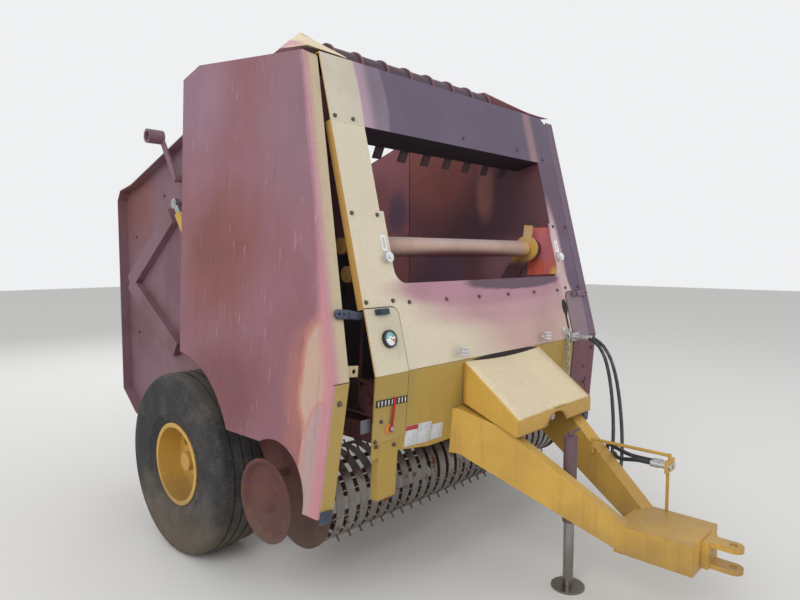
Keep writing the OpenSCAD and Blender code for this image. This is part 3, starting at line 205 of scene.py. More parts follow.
def ramp(tree, value, low, high, start=0.0, end=1.0):
    ins = {"Value": value, "From Min": low, "From Max": high, "To Min": start, "To Max": end}
    return add(tree, "MapRange", ins, interpolation_type="SMOOTHSTEP").outputs[0]


def maths(tree, what, a, b=0.5):
    return add(tree, "Math", {0: a, 1: b}, operation=what).outputs[0]


def times(tree, a, b):
    return maths(tree, "MULTIPLY", a, b)


def vectors(tree, what, *operands):
    made = add(tree, "VectorMath", dict(enumerate(operands)), operation=what)
    return made.outputs["Value" if what in {"LENGTH", "DOT_PRODUCT"} else "Vector"]


def axes(tree, vector):
    return add(tree, "SeparateXYZ", {0: vector}).outputs


def here(tree):
    return add(tree, "TexCoord").outputs["Object"]


def facing(tree):
    return add(tree, "NewGeometry").outputs["Normal"]


def before_move(tree, vector, place):
    """Where a point lay before its piece was moved to its place."""
    back = place.inverted()
    ins = {"Vector": vector, "Location": back.translation, "Rotation": back.to_euler()}
    return add(tree, "Mapping", ins).outputs[0]


def speckle(tree, vector, scale, detail, rough):
    ins = {"Vector": vector, "Scale": scale, "Detail": detail, "Roughness": rough}
    return add(tree, "TexNoise", ins).outputs[0]


def new_group(name, sockets_in, sockets_out):
    tree = bpy.data.node_groups.new(name, "ShaderNodeTree")
    for label, kind, default in sockets_in:
        socket = tree.interface.new_socket(label, in_out="INPUT", socket_type="NodeSocket" + kind)
        socket.default_value = default
    for label, kind in sockets_out:
        tree.interface.new_socket(label, in_out="OUTPUT", socket_type="NodeSocket" + kind)
    return tree, tree.nodes.new("NodeGroupInput").outputs, tree.nodes.new("NodeGroupOutput").inputs


PATCH_INPUTS = [("Vector", "Vector", (0, 0, 0)), ("Centre", "Vector", (0, 0, 0)), ("Reach", "Vector", (1, 1, 1))]


def from_centre(tree, i):
    """Where a point lies from a patch's centre, in shares of its reach."""
    return vectors(tree, "DIVIDE", vectors(tree, "SUBTRACT", i["Vector"], i["Centre"]), i["Reach"])


def inside(tree, far, soft):
    """Fades from 1 to 0 where the distance passes 1."""
    return ramp(tree, far, maths(tree, "ADD", 1.0, soft), maths(tree, "SUBTRACT", 1.0, soft))


def scorch_patch_group():
    """Mask of a ragged round patch about a point on the sheet metal."""
    inputs = PATCH_INPUTS + [("Ragged", "Float", 0.5), ("Soft", "Float", 0.3)]
    tree, i, o = new_group("scorch patch", inputs, [("Mask", "Float")])
    far = vectors(tree, "LENGTH", from_centre(tree, i))
    stir = times(tree, maths(tree, "SUBTRACT", speckle(tree, i["Vector"], 5.0, 7, 0.62)), i["Ragged"])
    tree.links.new(inside(tree, maths(tree, "ADD", far, stir), i["Soft"]), o["Mask"])
    return tree


def panel_patch_group():
    """Mask of a box with straight sides, for plates and painted panels."""
    tree, i, o = new_group("panel patch", PATCH_INPUTS + [("Soft", "Float", 0.02)], [("Mask", "Float")])
    xyz = axes(tree, vectors(tree, "ABSOLUTE", from_centre(tree, i)))
    far = maths(tree, "MAXIMUM", maths(tree, "MAXIMUM", xyz[0], xyz[1]), xyz[2])
    tree.links.new(inside(tree, far, i["Soft"]), o["Mask"])
    return tree


def fold_band_group():
    """Mask of a band along the fold of a door, which follows the front's slope and tuck."""
    tree, i, o = new_group("fold band", [
        ("Vector", "Vector", (0, 0, 0)), ("Width", "Float", 0.03), ("Ragged", "Float", 0.03)], [("Mask", "Float")])
    xyz = axes(tree, i["Vector"])
    rise = maths(tree, "SUBTRACT", xyz[2], BEND_Z)
    front = maths(tree, "MAXIMUM", times(tree, rise, math.tan(LEAN)), times(tree, rise, -math.tan(TUCK)))
    far = maths(tree, "SUBTRACT", maths(tree, "SUBTRACT", xyz[1], BEND_Y), front)
    stir = times(tree, maths(tree, "SUBTRACT", speckle(tree, i["Vector"], 6.0, 6, 0.6)), i["Ragged"])
    wide, narrow = times(tree, i["Width"], 1.3), times(tree, i["Width"], 0.25)
    tree.links.new(ramp(tree, maths(tree, "ADD", far, stir), wide, narrow), o["Mask"])
    return tree


def burnt_paint_group():
    """Weathered paint: mottled colour, runs, pinholes of rust and bare worn edges."""
    grey = (0.5, 0.5, 0.5, 1)
    tree, i, o = new_group("burnt paint", [
        ("Vector", "Vector", (0, 0, 0)), ("Paint", "Color", grey), ("Mottle", "Color", grey),
        ("Rust", "Color", (0.1, 0.03, 0.02, 1)), ("Rust amount", "Float", 0.1), ("Edge wear", "Float", 0.5),
        ("Runs", "Float", 0.3), ("Sheen", "Float", 0.55), ("Chalk", "Float", 0.0),
    ], [("Colour", "Color"), ("Roughness", "Float"), ("Height", "Float")])
    cloud = speckle(tree, i["Vector"], 2.3, 5, 0.55)
    grain = speckle(tree, i["Vector"], 95, 3, 0.7)
    colour = mix(tree, ramp(tree, cloud, 0.38, 0.64), i["Paint"], i["Mottle"])
    long = add(tree, "Mapping", {"Vector": i["Vector"], "Scale": (16, 16, 0.9)}).outputs[0]
    run = times(tree, ramp(tree, speckle(tree, long, 1.6, 6, 0.6), 0.52, 0.74), i["Runs"])
    colour = mix(tree, run, colour, mix(tree, 0.6, colour, i["Rust"]))
    fine = add(tree, "Mapping", {"Vector": i["Vector"], "Scale": (30, 30, 1.4)}).outputs[0]
    chalk = times(tree, ramp(tree, speckle(tree, fine, 1.9, 7, 0.68), 0.60, 0.74), i["Chalk"])
    colour = mix(tree, chalk, colour, (0.62, 0.50, 0.48, 1))
    colour = mix(tree, 1.0, colour, ramp(tree, grain, 0.2, 0.8, 0.93, 1.06), "MULTIPLY")
    crust = speckle(tree, i["Vector"], 19, 9, 0.72)
    line = maths(tree, "SUBTRACT", 0.78, times(tree, i["Rust amount"], 0.42))
    pits = ramp(tree, crust, line, maths(tree, "ADD", line, 0.07))
    softened = add(tree, "Bevel", {"Radius": 0.006}, samples=4).outputs[0]
    fold = ramp(tree, vectors(tree, "DOT_PRODUCT", softened, facing(tree)), 0.985, 0.86)
    chip = ramp(tree, speckle(tree, i["Vector"], 34, 5, 0.7), 0.42, 0.62)
    bare = maths(tree, "MAXIMUM", pits, times(tree, times(tree, fold, chip), i["Edge wear"]))
    rust = mix(tree, grain, i["Rust"], mix(tree, 0.35, i["Rust"], (0.42, 0.16, 0.06, 1)))
    tree.links.new(mix(tree, bare, colour, rust), o["Colour"])
    rough = maths(tree, "ADD", i["Sheen"], times(tree, bare, 0.3))
    rough = maths(tree, "ADD", rough, times(tree, maths(tree, "SUBTRACT", grain), 0.18))
    tree.links.new(rough, o["Roughness"])
    height = maths(tree, "ADD", times(tree, grain, 0.25), times(tree, bare, -0.6))
    tree.links.new(maths(tree, "ADD", height, times(tree, cloud, 3.0)), o["Height"])
    return tree


def ground_dirt_group():
    """Dust on what faces up and mud towards the ground."""
    tree, i, o = new_group("ground dirt", [
        ("Vector", "Vector", (0, 0, 0)), ("Colour", "Color", (0.5, 0.5, 0.5, 1)),
        ("Dirt", "Color", (0.16, 0.12, 0.08, 1)), ("Dust", "Float", 0.25), ("Mud height", "Float", 0.8),
    ], [("Colour", "Color")])
    patchy = speckle(tree, i["Vector"], 7, 6, 0.65)
    lying = times(tree, times(tree, ramp(tree, axes(tree, facing(tree))[2], 0.5, 1.0), i["Dust"]), patchy)
    stir = times(tree, maths(tree, "SUBTRACT", patchy), 0.5)
    splash = maths(tree, "ADD", axes(tree, i["Vector"])[2], stir)
    low = times(tree, ramp(tree, splash, i["Mud height"], 0.1), 0.55)
    mask = maths(tree, "MINIMUM", maths(tree, "ADD", lying, low), 0.85)
    tree.links.new(mix(tree, mask, i["Colour"], i["Dirt"]), o["Colour"])
    return tree


MAKERS = {"scorch patch": scorch_patch_group, "panel patch": panel_patch_group, "fold band": fold_band_group,
          "burnt paint": burnt_paint_group, "ground dirt": ground_dirt_group}
GROUPS = {}


def placed(tree, name, ins):
    """Puts a shared shader group into a material, built the first time it is needed."""
    if name not in GROUPS:
        GROUPS[name] = MAKERS[name]()
    made = add(tree, "Group")
    made.node_tree = GROUPS[name]
    return wire(tree, made, ins).outputs


def blank_material(name):
    material = bpy.data.materials.new(name)
    material.use_nodes = True
    tree = material.node_tree
    tree.nodes.clear()
    surface = add(tree, "BsdfPrincipled")
    add(tree, "OutputMaterial", {"Surface": surface.outputs[0]})
    return material, tree, surface


def finish_look(tree, surface, colour, rough, height, strength, distance):
    """Joins a look's colour, roughness and bump to its surface."""
    bump = add(tree, "Bump", {"Height": height, "Strength": strength, "Distance": distance})
    wire(tree, surface, {"Base Color": colour, "Roughness": rough, "Normal": bump.outputs[0]})


def weather(tree, surface, paint, dirt, dents, depth):
    """Burnt paint with ground dirt over it."""
    worn = placed(tree, "burnt paint", paint)
    dirty = placed(tree, "ground dirt", {"Vector": paint["Vector"], "Colour": worn["Colour"], **dirt})
    finish_look(tree, surface, dirty["Colour"], worn["Roughness"], worn["Height"], dents, depth)


def darker(colour, share):
    return [c * share for c in colour[:3]] + [1]


def sheet_paint(name, paint, mottle, patches=(), rust_amount=0.1, runs=0.3, wear=None, sheen=0.55, mud=0.9,
                front_edge=None, hung=None, fold=None, chalk=0.0, side_edge=None, underside_tone=None):
    """Weathered sheet metal. Each patch is centre, reach, ragged, soft, chip, in the machine's frame.

    A patch whose ragged is None has straight sides. front_edge gives the colours of faces that look ahead,
    above and under the bend line. hung is how an open door stands to the closed one its patches are laid
    out on, and fold gives the band along its fold: width, colour high up, colour low down, colour that it
    leaves on the front flange. side_edge is the colour of the folded edges beside the door's gap, and
    underside_tone the darker colour given to the faces that look down."""
    chips = bpy.context.scene.sheet_metal
    material, tree, surface = blank_material(name)
    where = spot = here(tree)
    if hung:
        spot = before_move(tree, where, hung)
    colour, second = paint, mottle

    def lay(mask, tint, under=None):
        nonlocal colour, second
        colour, second = mix(tree, mask, colour, tint), mix(tree, mask, second, under or tint)

    for centre, reach, ragged, soft, chip in patches:
        ins = {"Vector": spot, "Centre": centre, "Reach": reach, "Soft": soft}
        if ragged is None:
            mask = placed(tree, "panel patch", ins)["Mask"]
        else:
            mask = placed(tree, "scorch patch", {**ins, "Ragged": ragged})["Mask"]
        lay(mask, tone(*chip), darker(tone(*chip), 0.86))
    if fold:
        rise = axes(tree, spot)[2]
        broad = ramp(tree, rise, 1.9, 1.2, fold[0] * 0.35, fold[0])
        band = placed(tree, "fold band", {"Vector": spot, "Width": broad, "Ragged": 0.03})["Mask"]
        lay(band, mix(tree, ramp(tree, rise, 1.9, 1.3), fold[1], fold[2]))
    if front_edge:
        height = axes(tree, where)[2]
        above = ramp(tree, height, BEND_Z - 0.002, BEND_Z + 0.002)
        seam = ramp(tree, maths(tree, "ABSOLUTE", maths(tree, "SUBTRACT", height, BEND_Z)), 0.0015, 0.003)
        edge = mix(tree, above, front_edge[1], front_edge[0])
        if fold:
            outward = maths(tree, "ABSOLUTE", axes(tree, spot)[0])
            high, low = ramp(tree, outward, 1.018, 1.064), ramp(tree, outward, 1.048, 1.068)
            edge = mix(tree, mix(tree, above, low, high), edge, fold[3])
        edge = mix(tree, seam, (0.05, 0.035, 0.02, 1), edge)
        lay(ramp(tree, axes(tree, facing(tree))[1], -0.6, -0.75), edge)
    if side_edge:
        sideways = maths(tree, "ABSOLUTE", axes(tree, facing(tree))[0])
        outward = maths(tree, "ABSOLUTE", axes(tree, where)[0])
        lay(times(tree, ramp(tree, sideways, 0.6, 0.8), ramp(tree, outward, 0.93, 0.95)), side_edge)
    # Darkens every face that looks down with the darker underside colour
    if underside_tone:
        lay(ramp(tree, axes(tree, facing(tree))[2], -0.6, -0.8), underside_tone)
    weather(tree, surface, {
        "Vector": where, "Paint": colour, "Mottle": second, "Rust": chips.rust[:], "Rust amount": rust_amount,
        "Edge wear": chips.edge_wear if wear is None else wear, "Runs": runs, "Sheen": sheen, "Chalk": chalk,
    }, {"Dust": 0.25, "Mud height": mud}, 0.35, 0.002)
    surface.inputs["Specular IOR Level"].default_value = 0.35
    return material


def bare_metal(name, colour, rough, rust_amount, metallic=0.8):
    """Zinc or steel with a dull bloom, spots of rust and dirt."""
    material, tree, surface = blank_material(name)
    weather(tree, surface, {
        "Vector": here(tree), "Paint": colour, "Mottle": darker(colour, 0.72), "Rust": tone(112, 64, 44),
        "Rust amount": rust_amount, "Edge wear": 0.15, "Runs": 0.2, "Sheen": rough,
    }, {"Dust": 0.1, "Mud height": 0.5}, 0.2, 0.001)
    surface.inputs["Metallic"].default_value = metallic
    return material


def moulded(name, colour, rough):
    """Rubber or plastic with a fine moulded grain, paler clouds and dust on what faces up."""
    material, tree, surface = blank_material(name)
    where = here(tree)
    fine = speckle(tree, where, 140, 4, 0.7)
    pale = [min(1, c * 2.2 + 0.02) for c in colour[:3]] + [1]
    clouded = mix(tree, ramp(tree, speckle(tree, where, 9, 5, 0.6), 0.45, 0.8), colour, pale)
    dusty = placed(tree, "ground dirt", {"Vector": where, "Colour": clouded, "Dust": 0.35, "Mud height": 0.5})
    dull = ramp(tree, fine, 0.2, 0.8, rough - 0.1, rough + 0.15)
    finish_look(tree, surface, dusty["Colour"], dull, fine, 0.3, 0.0008)
    return material


# Piece building

def only(obj):
    bpy.ops.object.select_all(action="DESELECT")
    obj.select_set(True)
    bpy.context.view_layer.objects.active = obj
    return obj


def joined(*objs):
    only(objs[0])
    for obj in objs:
        obj.select_set(True)
    if len(objs) > 1:
        bpy.ops.object.join()
    return objs[0]


def moved(obj, place):
    obj.data.transform(place)
    return obj


def copies(obj, places):
    """Copies a finished shape to each place and joins the copies into one piece."""
    made = []
    for place in places:
        twin = obj.copy()
        twin.data = obj.data.copy()
        bpy.context.collection.objects.link(twin)
        made.append(moved(twin, place))
    bpy.data.objects.remove(obj)
    return joined(*made)


def settle(obj, name, body, slot, material, *stands_for):
    """Names a finished piece, gives it its paint and lets it ride on its body."""
    only(obj)
    bpy.ops.object.transform_apply(location=True, rotation=True, scale=True)
    obj.name = obj.data.name = name
    obj.data.materials.clear()
    obj.data.materials.append(material)
    bpy.ops.object.shade_smooth_by_angle(angle=math.radians(35))
    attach(obj, body)
    if stands_for:
        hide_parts(*stands_for)
    return obj


def rounded(width):
    """Applies the new primitive's size and place and rounds its edges."""
    obj = bpy.context.object
    bpy.ops.object.transform_apply(location=True, rotation=True, scale=True)
    bevel = only(obj).modifiers.new("Edges", "BEVEL")
    bevel.width, bevel.segments, bevel.limit_method = width, 2, "ANGLE"
    bpy.ops.object.modifier_apply(modifier=bevel.name)
    return obj


def block(size, at, edge):
    bpy.ops.mesh.primitive_cube_add(size=1, location=at)
    bpy.context.object.scale = size
    return rounded(edge)


def disc(radius, depth, at, sides, edge=0.0008):
    bpy.ops.mesh.primitive_cylinder_add(vertices=sides, radius=radius, depth=depth, location=at)
    return rounded(edge)


def cut(body, tool, how="DIFFERENCE"):
    """Cuts a tool out of the body, or joins it to the body, and takes the tool away."""
    change = only(body).modifiers.new("Cut", "BOOLEAN")
    change.object, change.operation, change.solver = tool, how, "EXACT"
    bpy.ops.object.modifier_apply(modifier=change.name)
    bpy.data.objects.remove(tool)
    return body


def bolt_shape(width):
    """Hexagon head on a washer, facing +Z from the sheet."""
    washer = disc(width * 0.72, 0.002, (0, 0, 0.001), 24)
    head = disc(width * 0.57, 0.007, (0, 0, 0.0055), 6, 0.0012)
    return joined(washer, head)


def corner_sheet(corners, thickness):
    """Folds a plane into a four-cornered sheet and gives it its thickness."""
    bpy.ops.mesh.primitive_plane_add(size=2)
    obj = only(bpy.context.object)
    mesh = obj.data
    starts = [vertex.co.copy() for vertex in mesh.vertices]
    bpy.ops.object.mode_set(mode="EDIT")
    for index, corner in zip((0, 1, 3, 2), corners):
        bpy.ops.mesh.select_all(action="DESELECT")
        bpy.ops.object.mode_set(mode="OBJECT")
        mesh.vertices[index].select = True
        bpy.ops.object.mode_set(mode="EDIT")
        bpy.ops.transform.translate(value=Vector(corner) - starts[index])
    bpy.ops.mesh.select_all(action="SELECT")
    bpy.ops.mesh.subdivide(number_cuts=3)
    bpy.ops.object.mode_set(mode="OBJECT")
    wall = obj.modifiers.new("Sheet", "SOLIDIFY")
    wall.thickness, wall.offset = thickness, 0
    bpy.ops.object.modifier_apply(modifier=wall.name)
    return obj


class BALER_OT_stage(Operator):
    """Adds the camera at the photograph's viewing angle, the lamps and the pale floor"""
    bl_idname = "baler.stage"
    bl_label = "Stage"

    def execute(self, context):
        studio = context.scene.studio
        turn = (math.radians(85.9), 0, math.radians(-46.69))
        bpy.ops.object.camera_add(location=(-2.798, -2.681, 1.616), rotation=turn)
        camera = context.object
        camera.data.sensor_width, camera.data.lens = 36, 27.9
        camera.data.clip_end = 200
        context.scene.camera = camera
        # name, place, share of the key lamp's power
        for name, at, share in (("key", (-7.0, -3.2, 5.5), 1), ("fill", (4.0, -7.0, 5.0), 0.35),
                                ("back", (1.0, 7.0, 6.0), 0.6)):
            bpy.ops.object.light_add(type="AREA", location=at)
            lamp = context.object
            lamp.name = name
            lamp.data.size, lamp.data.energy = 5.0, studio.key_power * share
            lamp.rotation_euler = (Vector((0, 0, 1.1)) - Vector(at)).to_track_quat("-Z", "Y").to_euler()
        self.sky(context, studio)
        if studio.show_floor:
            self.floor(studio)
        context.scene.view_settings.view_transform = "Standard"
        return {"FINISHED"}

    def sky(self, context, studio):
        world = bpy.data.worlds.new("Even daylight")
        context.scene.world = world
        world.use_nodes = True
        tree = world.node_tree
        tree.nodes.clear()
        seen = add(tree, "LightPath").outputs
        plain = maths(tree, "MAXIMUM", seen["Is Camera Ray"], seen["Is Glossy Ray"])
        plain = maths(tree, "MAXIMUM", plain, seen["Is Transmission Ray"])
        light = add(tree, "Background", {"Color": (1, 1, 1, 1), "Strength": studio.daylight})
        backdrop = add(tree, "Background", {"Color": (0.86, 0.87, 0.88, 1), "Strength": 1.0})
        both = add(tree, "MixShader", {0: plain, 1: light.outputs[0], 2: backdrop.outputs[0]})
        add(tree, "OutputWorld", {"Surface": both.outputs[0]})

    def floor(self, studio):
        bpy.ops.mesh.primitive_plane_add(size=60, location=(0, 0, 0))
        floor = bpy.context.object
        floor.name = "floor"
        material, tree, surface = blank_material("plain floor")
        wire(tree, surface, {"Base Color": studio.floor_tone, "Roughness": 0.9, "Specular IOR Level": 0.1})
        floor.data.materials.append(material)


def bent(a, b, c, d, t):
    """Point at t between b and c on the smooth curve through a, b, c and d."""
    return 0.5 * (2 * b + (c - a) * t + (2 * a - 5 * b + 4 * c - d) * t * t + (3 * b - a - 3 * c + d) * t ** 3)


def hose_line(points, steps=2):
    """The hose's smooth line through its points, in the machine's frame and in metres."""
    p = [Vector((x / 1000, y / 1000 + BEND_Y, z / 1000)) for x, y, z in points]
    last = len(p) - 1
    line = [bent(p[max(i - 1, 0)], p[i], p[i + 1], p[min(i + 2, last)], k / steps)
            for i in range(last) for k in range(steps)]
    return line + [p[last]]


def hose_rubber():
    """Black hydraulic hose with a wrapped cover and chalky scuffs."""
    material, tree, surface = blank_material("hydraulic hose")
    where = here(tree)
    ins = {"Vector": where, "Scale": 160, "Distortion": 1.5, "Detail": 1}
    wrap = add(tree, "TexWave", ins).outputs["Fac"]
    scuff = ramp(tree, speckle(tree, where, 24, 6, 0.7), 0.5, 0.72)
    colour = mix(tree, scuff, tone(38, 38, 44), tone(104, 102, 108))
    finish_look(tree, surface, colour, ramp(tree, scuff, 0, 1, 0.42, 0.7), wrap, 0.25, 0.0006)
    return material


class BALER_OT_hoses(Operator):
    """Lays the two hydraulic hoses along their routes"""
    bl_idname = "baler.hoses"
    bl_label = "Hoses"

    def execute(self, context):
        radius = context.scene.front_trim.hose_radius
        rubber = hose_rubber()
        for name, points in (("hose_a", HOSE_A), ("hose_b", HOSE_B)):
            line = hose_line(points)
            curve = bpy.data.curves.new(name + "_hydraulic", "CURVE")
            curve.dimensions = "3D"
            curve.bevel_depth, curve.bevel_resolution, curve.use_fill_caps = radius, 4, True
            spline = curve.splines.new("POLY")
            spline.points.add(len(line) - 1)
            for point, at in zip(spline.points, line):
                point.co = (*at, 1)
            spline.use_smooth = True
            hose = bpy.data.objects.new(name + "_hydraulic", curve)
            context.collection.objects.link(hose)
            curve.materials.append(rubber)
            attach(hose, "frame")
            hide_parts(name)
        return {"FINISHED"}


def zones(x, wide, *rows):
    """Patches that share their place across the machine. Each row is y, z, reach in y and z, ragged, soft, chip."""
    return [((x, y, z), (wide, dy, dz), ragged, soft, chip) for y, z, dy, dz, ragged, soft, chip in rows]


def coat(material, *names):
    """Gives pieces of the frame their paint."""
    for name in names:
        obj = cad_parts[name]
        obj.data.materials.clear()
        obj.data.materials.append(material)
        obj["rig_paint"] = material.name


class BALER_OT_paint(Operator):
    """Paints every piece of sheet metal, steel, rubber and plastic of the frame"""
    bl_idname = "baler.paint"
    bl_label = "Paint"

    def execute(self, context):
        chips = context.scene.sheet_metal
        self.doors(chips.primer[:])
        self.walls()
        self.front(chips.bleached[:])
        self.lower_front(chips.sound[:])
        self.tongue_and_arm()
        self.plain_pieces()
        coat(self.roller_paint(), "top_roller")
        coat(self.tyre_rubber(), "tyre_right", "tyre_left")
        return {"FINISHED"}

    def doors(self, primer):
        """Zones of the doors as they lie when closed, and of the tailgate."""
        mottle = tone(142, 100, 112)
        shared = {"runs": 0.3, "wear": 0.3, "sheen": 0.6, "mud": 0.35, "patches": zones(
            0, 4,
            (-0.50, 2.25, 0.30, 0.40, 0.6, 0.5, (138, 104, 116)),
            (0.45, 2.42, 0.30, 0.28, 0.5, 0.5, (146, 110, 126)),
            (0.10, 1.62, 0.34, 0.32, 0.9, 0.5, (130, 80, 78)),
            (-0.02, 0.95, 0.34, 0.24, 0.7, 0.5, (124, 78, 84)),
            (-0.60, 1.00, 0.10, 0.26, 1.8, 0.45, (158, 104, 98)),
            (-0.72, 1.08, 0.120, 0.30, 1.0, 0.14, (182, 126, 112)),
            (-0.73, 1.08, 0.105, 0.27, 1.0, 0.10, (186, 156, 140)),
            (-0.77, 0.73, 0.140, 0.30, 0.12, 0.03, (186, 134, 122)),
            (-0.775, 0.73, 0.125, 0.29, 0.12, 0.06, (172, 146, 144)))}
        door = sheet_paint("scorched door", primer, mottle, chalk=0.45, hung=swing(-1), **shared,
                           front_edge=(tone(190, 173, 146), tone(172, 146, 84)),
                           fold=(0.070, tone(162, 118, 134), tone(186, 128, 136), tone(186, 140, 146)))
        far_door = sheet_paint("scorched far door", primer, mottle, chalk=0.3, **shared,
                               front_edge=(tone(106, 91, 112), tone(110, 66, 80)),
                               fold=(0.06, tone(140, 112, 128), tone(130, 96, 108), tone(110, 84, 100)))
        gate = sheet_paint("scorched tailgate", tone(128, 98, 108), tone(116, 84, 92), [
            ((0, 1.2, 1.4), (0.790, 3, 3), None, 0.001, (138, 84, 90)),
            ((0.78, 0.72, 1.95), (0.04, 0.10, 0.16), 0.5, 0.5, (96, 70, 92)),
            ((0, 1.80, 2.02), (2, 0.25, 0.3), 0.6, 0.5, (130, 84, 84)),
        ], 0.2, 0.3, sheen=0.6, mud=0.6)
        coat(door, "door_right", "twine_box")
        coat(far_door, "door_left")
        coat(gate, "tailgate_right", "tailgate_left")

    def walls(self):
        """The left wall's burnt inside and red front edge in the window, and painted shade on the right wall's outer
        face where it shows in the door's gap.
        """
        patches = zones(
            WALL_X, 0.3,
            (-0.1, 1.9, 0.5, 0.35, 0.6, 0.5, (84, 56, 66)),
            (0.3, 2.3, 0.35, 0.4, 0.6, 0.5, (136, 78, 74)),
            (-0.12, 2.08, 0.07, 0.20, 0.8, 0.5, (146, 96, 92)),
            (0.28, 1.35, 0.25, 0.30, 0.9, 0.5, (96, 70, 92)),
            (-0.35, 1.50, 0.22, 0.20, 0.8, 0.5, (136, 96, 108)))
        patches += zones(
            0.770, 0.006,
            (-0.60, 1.645, 0.2, 0.2, None, 0.02, (208, 110, 104)),
            (-0.60, 1.68, 0.10, 0.10, 0.5, 0.5, (194, 112, 122)),
            (-0.53, 1.54, 0.07, 0.06, 0.4, 0.4, (216, 100, 78)),
            (-0.695, 1.50, 0.05, 0.05, 0.3, 0.4, (250, 200, 110)))
        # Painted shade: near-black on the right wall's outer face, where it shows in the gap beside the open right door
        patches += zones(
            -0.82, 0.025,
            (-0.50, 1.34, 0.32, 0.33, None, 0.05, (26, 20, 30)),
            (-0.50, 0.78, 0.32, 0.23, None, 0.05, (58, 44, 38)))
        for x in (-0.86, 0.86):
            patches += zones(x, 0.058, (-0.5, 1.6, 0.3, 0.3, None, 0.02, (200, 165, 90)))
        wall = sheet_paint("burnt chamber wall and painted gap shade", CHAMBER, tone(122, 78, 84), patches, 0.3, 0.6, sheen=0.7, mud=0.7)
        coat(wall, "wall_right", "wall_left")

    def front(self, bleached):
        """The stained front sheet, and the header whose bleached end fades inwards in rings."""
        sheet = sheet_paint("bleached front sheet", bleached, tone(212, 200, 178), [
            ((0.33, -0.76, 1.26), (0.48, 0.4, 0.24), 0.35, 0.5, (192, 158, 153)),
            ((0.12, -0.75, 1.37), (0.66, 0.4, 0.12), 0.3, 0.4, (186, 146, 152)),
            ((0.02, -0.73, 1.46), (0.78, 0.4, 0.105), 0.16, 0.2, (176, 131, 145)),
            ((0.27, -0.735, 1.475), (0.46, 0.4, 0.048), 0.5, 0.15, (98, 74, 90)),
            ((0.99, -0.60, 1.95), (0.222, 0.6, 0.72), 0.05, 0.06, (100, 80, 104)),
            ((0.99, -0.60, 2.08), (0.255, 0.6, 0.33), None, 0.03, (100, 78, 98)),
            ((0.785, -0.70, 1.62), (0.05, 0.3, 0.30), 0.2, 0.5, (206, 176, 180)),
        ], 0.02, 0.08, wear=0.25, mud=0.2, side_edge=SIDE_GOLD)
        rings = [((-1.0, -0.5, 2.36), (reach, 0.5, 0.62), ragged, soft, chip) for reach, ragged, soft, chip in (
            (0.415, 0.06, 0.03, (128, 113, 130)), (0.300, 0.04, 0.12, (174, 150, 166)),
            (0.250, 0.03, 0.06, (184, 150, 168)), (0.236, 0.03, 0.03, (206, 197, 180)))]
        header = sheet_paint("scorched header", tone(98, 86, 108), tone(92, 80, 98), rings + [
            ((0.735, -0.50, 2.36), (0.045, 0.5, 0.5), 0.15, 0.6, (148, 119, 126)),
            ((-0.88, -0.55, 2.177), (0.13, 0.3, 0.0035), None, 0.3, (74, 60, 60)),
            ((0.88, -0.55, 2.177), (0.13, 0.3, 0.0035), None, 0.3, (62, 48, 60)),
        ], 0.03, 0.10, wear=0.2, sheen=0.6, side_edge=SIDE_GOLD, underside_tone=tone(34, 28, 38))
        coat(sheet, "front_sheet")
        coat(header, "header")

    def lower_front(self, sound):
        lower = sheet_paint("lower front paint", sound, tone(176, 146, 74), [
            ((0.95, -0.8, 0.9), (0.12, 0.3, 0.3), 0.3, 0.5, (112, 62, 66)),
            # Painted shade: a near-black lens on the sheet under the tongue cover's sagging rear edge, for the dark gap
            # there
            ((0.02, -0.82, 1.084), (0.325, 0.2, 0.020), 0.04, 0.06, (16, 8, 10)),
        ], 0.05, 0.2, sheen=0.5, mud=0.75)
        panels = sheet_paint("panel paint", sound, tone(172, 148, 88), [
            ((-0.87, -0.78, 1.26), (0.4, 0.5, 0.159), None, 0.01, (208, 198, 174)),
            ((0.87, -0.78, 1.26), (0.4, 0.5, 0.159), None, 0.01, (134, 112, 122)),
            ((0.87, -0.78, 0.95), (0.4, 0.5, 0.15), None, 0.01, (112, 66, 80)),
        ], 0.05, 0.15, sheen=0.5, mud=0.7)
        coat(lower, "lower_front")
        coat(panels, "access_panels")

    def tongue_and_arm(self):
        cover = sheet_paint("tongue cover paint", tone(221, 205, 174), tone(226, 210, 170), [
            *(((x, -0.98, 0.9), (0.012, 0.4, 0.4), 0.0, 0.3, GOLDEN) for x in (-0.36, 0.36)),
            ((0, -1.142, 0.80), (0.5, 0.012, 0.1), 0.0, 0.3, (200, 160, 84)),
        ], 0.06, 0.15, sheen=0.5)
        tube = sheet_paint("cross tube paint", tone(206, 164, 84), tone(190, 142, 78), [
            ((-0.05, -0.5, 1.68), (0.68, 0.3, 0.2), 0.1, 0.12, (188, 156, 142)),
            ((-0.05, -0.5, 1.76), (0.68, 0.3, 0.075), 0.1, 0.5, (192, 174, 172)),
            ((-0.05, -0.5, 1.585), (0.70, 0.3, 0.062), 0.12, 0.35, (112, 70, 76)),
            # Burnt mauve darkened with painted shade, on the arm below the cross tube
            ((0, -0.5, 1.49), (2, 0.6, 0.09), 0.15, 0.3, (96, 62, 72)),
        ], 0.12, 0.2)
        coat(cover, "tongue_cover", "shoulder_covers")
        coat(tube, "tension_arm")

